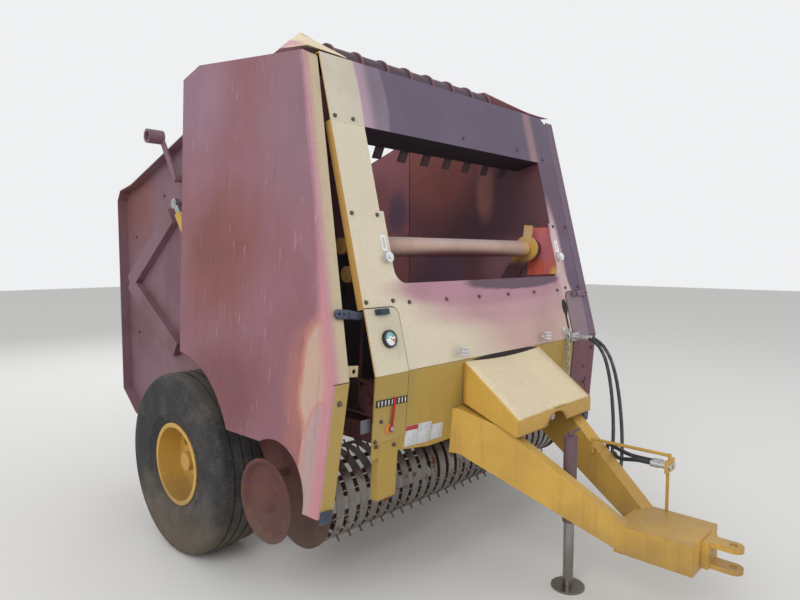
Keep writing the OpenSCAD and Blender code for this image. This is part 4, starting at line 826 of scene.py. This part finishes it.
    def plain_pieces(self):
        """Pieces of one colour all over."""
        coat(sheet_paint("golden paint", tone(*GOLDEN), tone(188, 148, 70), (), 0.14, 0.25, sheen=0.45, mud=0.55),
             "tongue", "hitch", "hose_holder", "barrel_right", "barrel_left", "rim_right", "rim_left")
        coat(sheet_paint("sooty steel", tone(58, 44, 52), tone(72, 52, 58), (), 0.3, 0.3, sheen=0.75), "guide_bar")
        coat(sheet_paint("rusted steel", tone(78, 48, 52), tone(98, 60, 56), (), 0.5, 0.4, sheen=0.75, mud=0.7),
             "frame_rails", "axle", "chamber_rollers", "gearbox", "drive_chain", "pickup_frame", "door_hinges",
             "pickup_reel", "tailgate_frame", "tailgate_rollers", "gauge_wheel_right", "gauge_wheel_left")
        coat(sheet_paint("scorched tube", tone(112, 88, 100), tone(92, 74, 88), (), 0.2, 0.2), "jack_tube")
        coat(sheet_paint("latch rubber", tone(58, 64, 82), tone(48, 54, 72), [
            ((0.9, -0.75, 1.4), (0.2, 0.5, 0.3), None, 0.01, (112, 86, 100)),
        ], 0.0, 0.1, wear=0.0, sheen=0.6), "door_catches")
        coat(bare_metal("zinc plate", ZINC, 0.38, 0.12), "tow_chain", "hose_ports", "hose_couplers")
        coat(bare_metal("spool zinc", tone(236, 238, 240), 0.4, 0.05, 0.3), "twine_guides")
        coat(bare_metal("ground steel", tone(176, 176, 178), 0.3, 0.25, 0.9),
             "rod_right", "rod_left", "jack_leg", "input_shaft")
        coat(bare_metal("worn band steel", tone(150, 146, 142), 0.45, 0.55, 0.7), "pickup_bands")
        coat(moulded("black gauge plastic", tone(34, 38, 42), 0.5), "gauge")

    def roller_paint(self):
        """Burnt roller whose rings have gone pink."""
        material = sheet_paint("burnt roller", tone(94, 76, 92), tone(74, 56, 66), (), 0.2, 0.1)
        tree = material.node_tree
        surface = next(n for n in tree.nodes if n.type == "BSDF_PRINCIPLED")
        axle_y, axle_z = -0.146, 2.62
        place = axes(tree, here(tree))
        rise = maths(tree, "POWER", maths(tree, "SUBTRACT", place[2], axle_z), 2.0)
        reach = maths(tree, "POWER", maths(tree, "SUBTRACT", place[1], axle_y), 2.0)
        radius = maths(tree, "SQRT", maths(tree, "ADD", rise, reach))
        before = surface.inputs["Base Color"].links[0].from_socket
        wire(tree, surface, {"Base Color": mix(tree, ramp(tree, radius, 0.078, 0.082), before, tone(128, 90, 100))})
        return material

    def tyre_rubber(self):
        """Weathered tyre with fine cracks, and dust over it."""
        material, tree, surface = blank_material("weathered tyre")
        where = here(tree)
        cells = add(tree, "TexVoronoi", {"Vector": where, "Scale": 46}, feature="DISTANCE_TO_EDGE")
        crack = ramp(tree, cells.outputs["Distance"], 0.0, 0.05)
        cloud = ramp(tree, speckle(tree, where, 6, 6, 0.65), 0.4, 0.75)
        colour = mix(tree, cloud, tone(44, 43, 44), tone(84, 80, 76))
        colour = mix(tree, crack, tone(26, 25, 26), colour)
        dirty = placed(tree, "ground dirt", {"Vector": where, "Colour": colour, "Dust": 0.5, "Mud height": 0.45})
        finish_look(tree, surface, dirty["Colour"], 0.82, crack, 0.3, 0.001)
        return material


class BALER_OT_gauge(Operator):
    """Adds the pressure gauge's bezel, face, ticks and needle"""
    bl_idname = "baler.gauge"
    bl_label = "Gauge"

    def execute(self, context):
        radius = context.scene.front_trim.gauge_radius
        place = slope_frame(-0.862, 0.153, PANEL + 0.014)
        bpy.ops.mesh.primitive_torus_add(major_radius=radius + 0.001, minor_radius=0.0048, major_segments=64,
                                         minor_segments=12)
        settle(moved(context.object, place), "gauge_bezel", "frame", "black_plastic",
               moulded("bezel plastic", tone(40, 46, 54), 0.4))
        face = moved(disc(radius, 0.001, (0, 0, 0.0007), 64, 0.0002), place)
        settle(face, "gauge_face", "frame", "zinc", self.dial(place))
        ticks = []
        for k in range(13):
            tick = block((0.0011, 0.005 if k % 3 else 0.0075, 0.0006), (0, radius - 0.006, 0.0015), 0.0001)
            ticks.append(moved(tick, place @ spin(130 - k * 260 / 12)))
        ink = moulded("tick ink", tone(24, 24, 28), 0.6)
        settle(joined(*ticks), "gauge_ticks", "frame", "black_plastic", ink)
        needle = joined(block((0.0022, 0.026, 0.001), (0, 0.008, 0.0022), 0.0004),
                        disc(0.0035, 0.0016, (0, 0, 0.0022), 24, 0.0004))
        red = moulded("needle paint", tone(196, 60, 50), 0.5)
        settle(moved(needle, place @ spin(-125)), "gauge_needle", "frame", "red_paint", red)
        return {"FINISHED"}

    def dial(self, place):
        """White face with a teal arc and a red sector, in rings about the dial's middle."""
        material, tree, surface = blank_material("gauge dial")
        where = here(tree)
        xyz = axes(tree, before_move(tree, where, place))
        flat = add(tree, "CombineXYZ", {0: xyz[0], 1: xyz[1]}).outputs[0]
        far = vectors(tree, "LENGTH", flat)
        angle = maths(tree, "ARCTAN2", xyz[1], xyz[0])
        band = times(tree, ramp(tree, far, 0.0105, 0.0115), ramp(tree, far, 0.031, 0.030))
        teal = times(tree, band, maths(tree, "GREATER_THAN", angle, 0.35))
        sector = times(tree, maths(tree, "LESS_THAN", angle, -0.1), maths(tree, "GREATER_THAN", angle, -0.8))
        colour = mix(tree, teal, tone(226, 232, 232), tone(96, 166, 164))
        colour = mix(tree, times(tree, band, sector), colour, tone(206, 120, 96))
        dusty = placed(tree, "ground dirt", {"Vector": where, "Colour": colour, "Dust": 0.3, "Mud height": 0.2})
        wire(tree, surface, {"Base Color": dusty["Colour"], "Roughness": 0.12, "Coat Weight": 0.6})
        return material


class BALER_OT_bale_scale(Operator):
    """Adds the bale size scale with its bars and red pointer"""
    bl_idname = "baler.bale_scale"
    bl_label = "Bale scale"

    def execute(self, context):
        count, pitch = context.scene.front_trim.scale_bars, 0.0212
        place = tuck_frame(-0.870, 0.977, PANEL) @ spin(-1.7)
        plate = moved(block((0.196, 0.031, 0.003), (0, 0, 0.0015), 0.0006), place)
        black = moulded("scale black", tone(28, 28, 30), 0.5)
        settle(plate, "scale_plate", "frame", "black_plastic", black, "bale_scale")
        bars = joined(*(block((0.0060, 0.023, 0.0006), ((k - (count - 1) / 2) * pitch, 0, 0.0033), 0.0002)
                        for k in range(count)))
        white = sheet_paint("scale white", tone(222, 222, 216), tone(206, 204, 194), (), 0.02, 0.05, wear=0.1)
        settle(moved(bars, place), "scale_bars", "frame", "zinc", white)
        self.pointer()
        return {"FINISHED"}

    def pointer(self):
        x, z = -0.872, 0.857
        pointer = joined(block((0.014, 0.143, 0.003), (0, 0.069, 0.009), 0.0008),
                         disc(0.0155, 0.006, (0, 0, 0.009), 32, 0.0012))
        red = sheet_paint("pointer red", tone(172, 26, 44), tone(150, 24, 42), (), 0.06, 0.2, wear=0.3, sheen=0.45)
        settle(moved(pointer, tuck_frame(x, z, PANEL) @ spin(-5.4)), "scale_pointer", "frame", "red_paint", red)
        washer = moved(disc(0.0225, 0.004, (0, 0, 0.004), 32, 0.0008), tuck_frame(x - 0.010, z - 0.001, PANEL))
        orange = sheet_paint("washer orange", tone(226, 148, 66), tone(206, 130, 60), (), 0.1)
        settle(washer, "pointer_washer", "frame", "golden_paint", orange)
        nut = moved(bolt_shape(0.014), tuck_frame(x, z, PANEL + 0.012))
        settle(nut, "pointer_nut", "frame", "zinc", bare_metal("pointer nut zinc", ZINC, 0.4, 0.2))


class BALER_OT_bolts(Operator):
    """Adds the bolt heads on the front sheet, posts, panels and tailgate"""
    bl_idname = "baler.bolts"
    bl_label = "Bolts"

    def execute(self, context):
        width = context.scene.front_trim.bolt_size
        rusty = bare_metal("rusted bolt", tone(98, 88, 86), 0.6, 0.35, 0.4)
        under_window = [slope_frame(-0.6825 + k * 0.273, 0.31) for k in range(6)]
        posts = [slope_frame(sign * x, v) for sign in (-1, 1)
                 for x, v in ((0.790, 0.322), (0.956, 0.323), (0.792, 0.723), (0.949, 0.724))]
        header = [slope_frame(x, v) for x, v in (
            (-0.947, 1.175), (-0.838, 1.175), (0.838, 1.175), (0.0, 1.205), (0.55, 1.205))]
        panels = [tuck_frame(sign * x, z, PANEL) for sign in (-1, 1)
                  for x, z in ((0.932, 0.898), (0.963, 0.813), (0.841, 0.775), (0.954, 0.789))]
        tailgate = [beside(sign, WALL_X, y, z) for y, z in (
            (0.75, 2.2), (1.05, 2.12), (1.4, 2.02), (1.85, 1.75), (1.85, 1.05), (1.2, 0.62), (0.8, 0.75), (0.9, 1.6),
        ) for sign in (-1, 1)]
        for name, body, size, places in (("front_bolts", "frame", width, under_window + posts + header),
                                         ("panel_bolts", "frame", width * 0.9, panels),
                                         ("tailgate_bolts", "tailgate", width, tailgate)):
            settle(copies(bolt_shape(size), places), name, body, "rusty_steel", rusty)
        return {"FINISHED"}


class BALER_OT_latches(Operator):
    """Adds the doors' straps, pads, foot latches and flange bolts, and the keeper, stop and hook behind them"""
    bl_idname = "baler.latches"
    bl_label = "Latches"

    def execute(self, context):
        rubber = moulded("strap rubber", tone(52, 58, 76), 0.55)
        burnt = moulded("burnt strap rubber", tone(104, 80, 92), 0.6)
        rusty = bare_metal("flange bolt metal", tone(98, 88, 86), 0.6, 0.35, 0.4)
        flange = 1.026
        for sign, side in SIDES:
            high = rubber if sign < 0 else burnt
            strap = self.strap()
            pad = block((0.038, 0.034, PANEL + 0.0014), (sign * 1.010, 0, PANEL / 2 + 0.0007), 0.001)
            foot = block((0.062, 0.055, 0.010), (sign * flange, 0, 0.005), 0.003)
            over_pad = slope_frame(sign * STRAP_X, STRAP_V, PANEL + 0.0012) @ spin(90 - 90 * sign)
            for piece, place, name, slot, material in (
                    (strap, over_pad, "strap_", "latch_rubber", high),
                    (pad, slope_frame(0, STRAP_V), "strap_pad_", "latch_rubber", high),
                    (foot, tuck_frame(0, 0.545), "foot_latch_", "latch_rubber", rubber),
                    (bolt_shape(0.017), tuck_frame(sign * flange, 1.013), "flange_bolt_", "rusty_steel", rusty)):
                settle(moved(piece, swing(sign) @ place), name + side, "door_" + side, slot, material)
        self.keepers()
        return {"FINISHED"}

    def strap(self):
        """Flat strap with a round end, a rib and two holes, lying along X with its tab towards -X."""
        body = block((0.080, 0.040, 0.012), (0.0, 0, 0.006), 0.004)
        body = cut(body, disc(0.0199, 0.0118, (0.030, 0, 0.006), 40, 0.003), "UNION")
        for x, size in ((0.004, 0.005), (0.030, 0.0065)):
            body = cut(body, disc(size, 0.05, (x, 0, 0.006), 24, 0.0003))
        tab = block((0.042, 0.034, 0.008), (-0.049, 0, 0.004), 0.003)
        rib = block((0.006, 0.036, 0.005), (-0.028, 0, 0.0135), 0.002)
        return joined(body, tab, rib)

    def keepers(self):
        """The door's keeper plate on its leg, the stop plate and the catch's hook, seen in the gap."""
        beige = sheet_paint("keeper paint", tone(196, 178, 140), tone(180, 160, 120), (), 0.15, 0.2, wear=0.4)
        y, z = -0.765, 1.134
        plate = block((0.100, 0.005, 0.048), (-0.939, y, z), 0.0015)
        hole = disc(0.0105, 0.03, (0, 0, 0), 32, 0.0003)
        plate = cut(plate, moved(hole, Matrix.Translation((-0.913, y, z)) @ spin(90, "X")))
        leg = block((0.004, 0.046, 0.040), (-0.987, y - 0.021, z), 0.001)
        settle(moved(joined(plate, leg), swing(-1)), "door_keeper", "door_right", "zinc", beige)
        # The stop plate is grey steel, its colour darkened with painted shade
        stop = block((0.060, 0.005, 0.060), (-1.000, -0.783, 0.885), 0.002)
        settle(stop, "door_stop_plate", "frame", "zinc",
               bare_metal("stop plate steel in painted shade", tone(104, 102, 110), 0.6, 0.35, 0.3))
        hook = joined(block((0.060, 0.016, 0.034), (-1.000, -0.729, 1.357), 0.004),
                      block((0.012, 0.030, 0.030), (-0.977, -0.726, 1.357), 0.003))
        settle(hook, "latch_hook", "frame", "latch_rubber", moulded("latch hook rubber", tone(38, 42, 58), 0.6))


class BALER_OT_blank_plate(Operator):
    """Adds the blank plate under the bale scale"""
    bl_idname = "baler.blank_plate"
    bl_label = "Blank plate"

    def execute(self, context):
        place = tuck_frame(-0.631, 0.786) @ spin(-3)
        plate = joined(*(block((wide, tall, 0.0012), (x, y, 0.0006), 0.0004) for x, y, wide, tall in (
            (-0.0925, 0, 0.085, 0.098), (0, 0, 0.096, 0.098), (0.0925, -0.008, 0.084, 0.076))))
        white = sheet_paint("blank plate", tone(214, 218, 220), tone(200, 206, 212), (), 0.03, 0.2, wear=0.2, sheen=0.4)
        settle(moved(plate, place), "blank_plate", "frame", "zinc", white)
        strip = block((0.083, 0.022, 0.0008), (-0.0925, 0.037, 0.0015), 0.0003)
        band = sheet_paint("plate band", tone(190, 60, 66), tone(176, 60, 70), (), 0.05, 0.2, wear=0.3, sheen=0.4)
        settle(moved(strip, place), "plate_band", "frame", "red_paint", band)
        return {"FINISHED"}


class BALER_OT_hose_fittings(Operator):
    """Adds the crimped sleeves where the hoses leave their ports"""
    bl_idname = "baler.hose_fittings"
    bl_label = "Hose fittings"

    def execute(self, context):
        made = []
        for points in (HOSE_A, HOSE_B):
            line = hose_line(points, 6)
            turn = (line[4] - line[0]).normalized().to_track_quat("Z", "Y").to_matrix().to_4x4()
            sleeve = disc(0.0125, 0.05, (0, 0, 0.026), 32, 0.001)
            rings = [disc(0.0136, 0.006, (0, 0, 0.008 + k * 0.011), 24, 0.001) for k in range(4)]
            made.append(moved(joined(sleeve, *rings), Matrix.Translation(line[0]) @ turn))
        zinc = bare_metal("crimped sleeve", tone(196, 198, 200), 0.35, 0.15)
        settle(joined(*made), "hose_sleeves", "frame", "zinc", zinc)
        return {"FINISHED"}


class BALER_OT_shoulders(Operator):
    """Adds the covers that drop from the wall tops over the front corners of the doors"""
    bl_idname = "baler.shoulders"
    bl_label = "Shoulder covers"

    def execute(self, context):
        low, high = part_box("shoulder_covers")
        front, inner, outer = low[1], WALL_X + 0.0016, high[0] - 0.001
        shoulder = sheet_paint("shoulder paint", tone(236, 220, 188), tone(230, 212, 180), [
            ((-1.03, -0.20, 2.60), (0.16, 0.11, 0.09), 0.15, 0.25, (206, 152, 162)),
            ((0.9, -0.15, 2.66), (0.4, 0.9, 0.4), 0.2, 0.3, (170, 88, 100)),
        ], 0.04, 0.15, wear=0.2)
        made = []
        for sign in (-1, 1):
            corners = [
                (sign * inner, front, low[2] + 0.006), (sign * outer, front, low[2] + 0.012),
                (sign * outer, -0.25, 2.574), (sign * inner, -0.10, high[2] - 0.0015),
            ]
            made.append(corner_sheet(corners if sign < 0 else corners[::-1], 0.003))
        settle(joined(*made), "shoulder_sheets", "frame", "cream_paint", shoulder, "shoulder_covers")
        return {"FINISHED"}


class BALER_OT_cover(Operator):
    """Gives the tongue cover its sagging rear edge"""
    bl_idname = "baler.cover"
    bl_label = "Tongue cover"

    def execute(self, context):
        middle, half_width, fore, depth, drop = 0.02, 0.33, -0.96, 0.136, 0.015
        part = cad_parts["tongue_cover"]
        mesh = part.data.copy()
        mesh.transform(part.matrix_world)
        cover = bpy.data.objects.new("tongue_cover_sagged", mesh)
        context.collection.objects.link(cover)
        only(cover)
        bpy.ops.object.mode_set(mode="EDIT")
        bpy.ops.mesh.select_all(action="SELECT")
        bpy.ops.mesh.remove_doubles(threshold=0.0001)
        bpy.ops.mesh.subdivide(number_cuts=9)
        bpy.ops.object.mode_set(mode="OBJECT")
        sag = cover.vertex_groups.new(name="Sag")
        for vertex in mesh.vertices:
            across = max(0.0, 1 - ((vertex.co.x - middle) / half_width) ** 2)
            along = min(1.0, max(0.0, (vertex.co.y - fore) / depth))
            sag.add([vertex.index], across * along * along, "REPLACE")
        press = cover.modifiers.new("Sag", "DISPLACE")
        press.direction, press.strength, press.mid_level, press.vertex_group = "Z", -drop, 0.0, "Sag"
        bpy.ops.object.modifier_apply(modifier=press.name)
        settle(cover, "tongue_cover_sagged", "frame", "cream_paint", part.data.materials[0], "tongue_cover")
        return {"FINISHED"}


class BALER_OT_panel_seams(Operator):
    """Adds the dark seams round the access panels, and a black keyhole-shaped sheet as painted shade in the hoses'
    keyhole
    """
    bl_idname = "baler.panel_seams"
    bl_label = "Panel seams"

    def execute(self, context):
        wide, thick, raised, edge, reach = 0.0042, 0.002, 0.0012, 0.0003, 0.165
        side_x, top_v = PANEL_SIDE - wide / 2, PANEL_TOP + wide / 2
        round_x, round_v = PANEL_SIDE + PANEL_ROUND, PANEL_TOP - PANEL_ROUND
        made = []
        for sign in (-1, 1):
            arc = disc(PANEL_ROUND + wide, thick, (sign * round_x, round_v, raised), 64, edge)
            arc = cut(arc, disc(PANEL_ROUND, 0.02, (sign * round_x, round_v, 0), 64, edge))
            for x, v in ((round_x + 0.1, round_v), (round_x, round_v - 0.1)):
                arc = cut(arc, block((0.2, 0.2, 0.02), (sign * x, v, 0), edge))
            top = block((reach, wide, thick), (sign * (round_x + reach / 2), top_v, raised), edge)
            side = block((wide, round_v, thick), (sign * side_x, round_v / 2, raised), edge)
            under = block((wide, 0.298, thick), (sign * side_x, 0, raised), edge)
            made += [moved(joined(arc, top, side), slope_frame(0, 0)),
                     moved(under, tuck_frame(0, BEND_Z - 0.150))]
        dark = moulded("seam strip", tone(62, 46, 40), 0.8)
        settle(joined(*made), "panel_seams", "frame", "latch_rubber", dark)
        # Painted shade: a near-black keyhole-shaped sheet on the front sheet stands in for the shade inside the hoses'
        # keyhole
        oval = slope_frame(0.734, 0.200) @ Matrix.Diagonal((0.029, 0.050, 1, 1))
        keyhole_shade = moved(disc(1, 0.0016, (0, 0, 0.0010), 48, 0.0004), oval)
        tail = moved(block((0.020, 0.120, 0.0014), (0, 0, 0.0010), 0.0004), slope_frame(0.730, 0.098))
        black = moulded("keyhole painted shade", tone(16, 7, 11), 0.8)
        settle(joined(keyhole_shade, tail), "keyhole_painted_shade", "frame", "latch_rubber", black)
        return {"FINISHED"}


class BALER_OT_seam_seals(Operator):
    """Adds the riveted rubber seals that close the seam between the walls and the tailgate"""
    bl_idname = "baler.seam_seals"
    bl_label = "Seam seals"

    def execute(self, context):
        rubber = moulded("seam rubber", tone(52, 44, 48), 0.7)
        rusty = bare_metal("seal rivet metal", tone(112, 92, 92), 0.6, 0.6, 0.5)
        for sign, side in SIDES:
            strip = block((0.0024, 0.040, 1.55), (sign * (WALL_X + 0.0012), 0.620, 1.65), 0.0005)
            lip = block((0.0024, 0.070, 1.55), (sign * (WALL_X + 0.0034), 0.605, 1.65), 0.0008)
            settle(joined(strip, lip), "seam_seal_" + side, "tailgate", "latch_rubber", rubber)
            places = [beside(sign, WALL_X + 0.0044, 0.628, 0.92 + 0.162 * k) for k in range(10)]
            rivets = copies(disc(0.006, 0.002, (0, 0, 0.001), 20, 0.0008), places)
            settle(rivets, "seal_rivets_" + side, "tailgate", "rusty_steel", rusty)
        return {"FINISHED"}


class BALER_OT_wheel_nuts(Operator):
    """Adds the wheel nuts on their studs and the valve stems"""
    bl_idname = "baler.wheel_nuts"
    bl_label = "Wheel nuts"

    def execute(self, context):
        zinc = bare_metal("wheel nut zinc", tone(150, 142, 136), 0.45, 0.45, 0.7)
        black = moulded("valve rubber", tone(30, 30, 32), 0.6)
        for sign, side in SIDES:
            hub = beside(sign, HUB_X, AXLE_Y, AXLE_Z)
            washer = disc(0.0145, 0.003, (0, 0, 0.0015), 32, 0.0008)
            nut = disc(0.0125, 0.012, (0, 0, 0.009), 6, 0.0014)
            stud = disc(0.0065, 0.012, (0, 0, 0.019), 24, 0.001)
            places = [hub @ spin(60 * k + 30) @ Matrix.Translation((0.103, 0, 0)) for k in range(6)]
            nuts = copies(joined(washer, nut, stud), places)
            settle(nuts, "wheel_nuts_" + side, "wheel_" + side, "zinc", zinc)
            valve = joined(disc(0.0045, 0.034, (0.172, 0, 0.017), 24, 0.001),
                           disc(0.0060, 0.012, (0.172, 0, 0.036), 24, 0.0015))
            settle(moved(valve, hub), "valve_" + side, "wheel_" + side, "latch_rubber", black)
        return {"FINISHED"}


class BALER_PT_dressing(Panel):
    """Lists the steps that dress the round baler"""
    bl_label = "Round Baler"
    bl_idname = "BALER_PT_dressing"
    bl_space_type = "VIEW_3D"
    bl_region_type = "UI"
    bl_category = "Round Baler"

    def draw(self, context):
        for settings in (context.scene.sheet_metal, context.scene.front_trim, context.scene.studio):
            box = self.layout.box()
            for name in settings.__annotations__:
                box.prop(settings, name)
        for step in STEPS:
            self.layout.operator(step.bl_idname)


STEPS = (
    BALER_OT_stage, BALER_OT_hoses, BALER_OT_paint, BALER_OT_gauge, BALER_OT_bale_scale,
    BALER_OT_bolts, BALER_OT_latches, BALER_OT_blank_plate, BALER_OT_hose_fittings, BALER_OT_seam_seals,
    BALER_OT_wheel_nuts, BALER_OT_shoulders, BALER_OT_cover, BALER_OT_panel_seams,
)
SETTINGS = {"sheet_metal": SheetMetal, "front_trim": FrontTrim, "studio": Studio}


def register():
    for kind in (*SETTINGS.values(), *STEPS, BALER_PT_dressing):
        bpy.utils.register_class(kind)
    for name, kind in SETTINGS.items():
        setattr(bpy.types.Scene, name, PointerProperty(type=kind))


def unregister():
    for name in SETTINGS:
        delattr(bpy.types.Scene, name)
    for kind in (BALER_PT_dressing, *reversed(STEPS), *reversed(SETTINGS.values())):
        bpy.utils.unregister_class(kind)


def main():
    register()
    for step in STEPS:
        family, name = step.bl_idname.split(".")
        getattr(getattr(bpy.ops, family), name)()


if __name__ == "__main__":
    main()
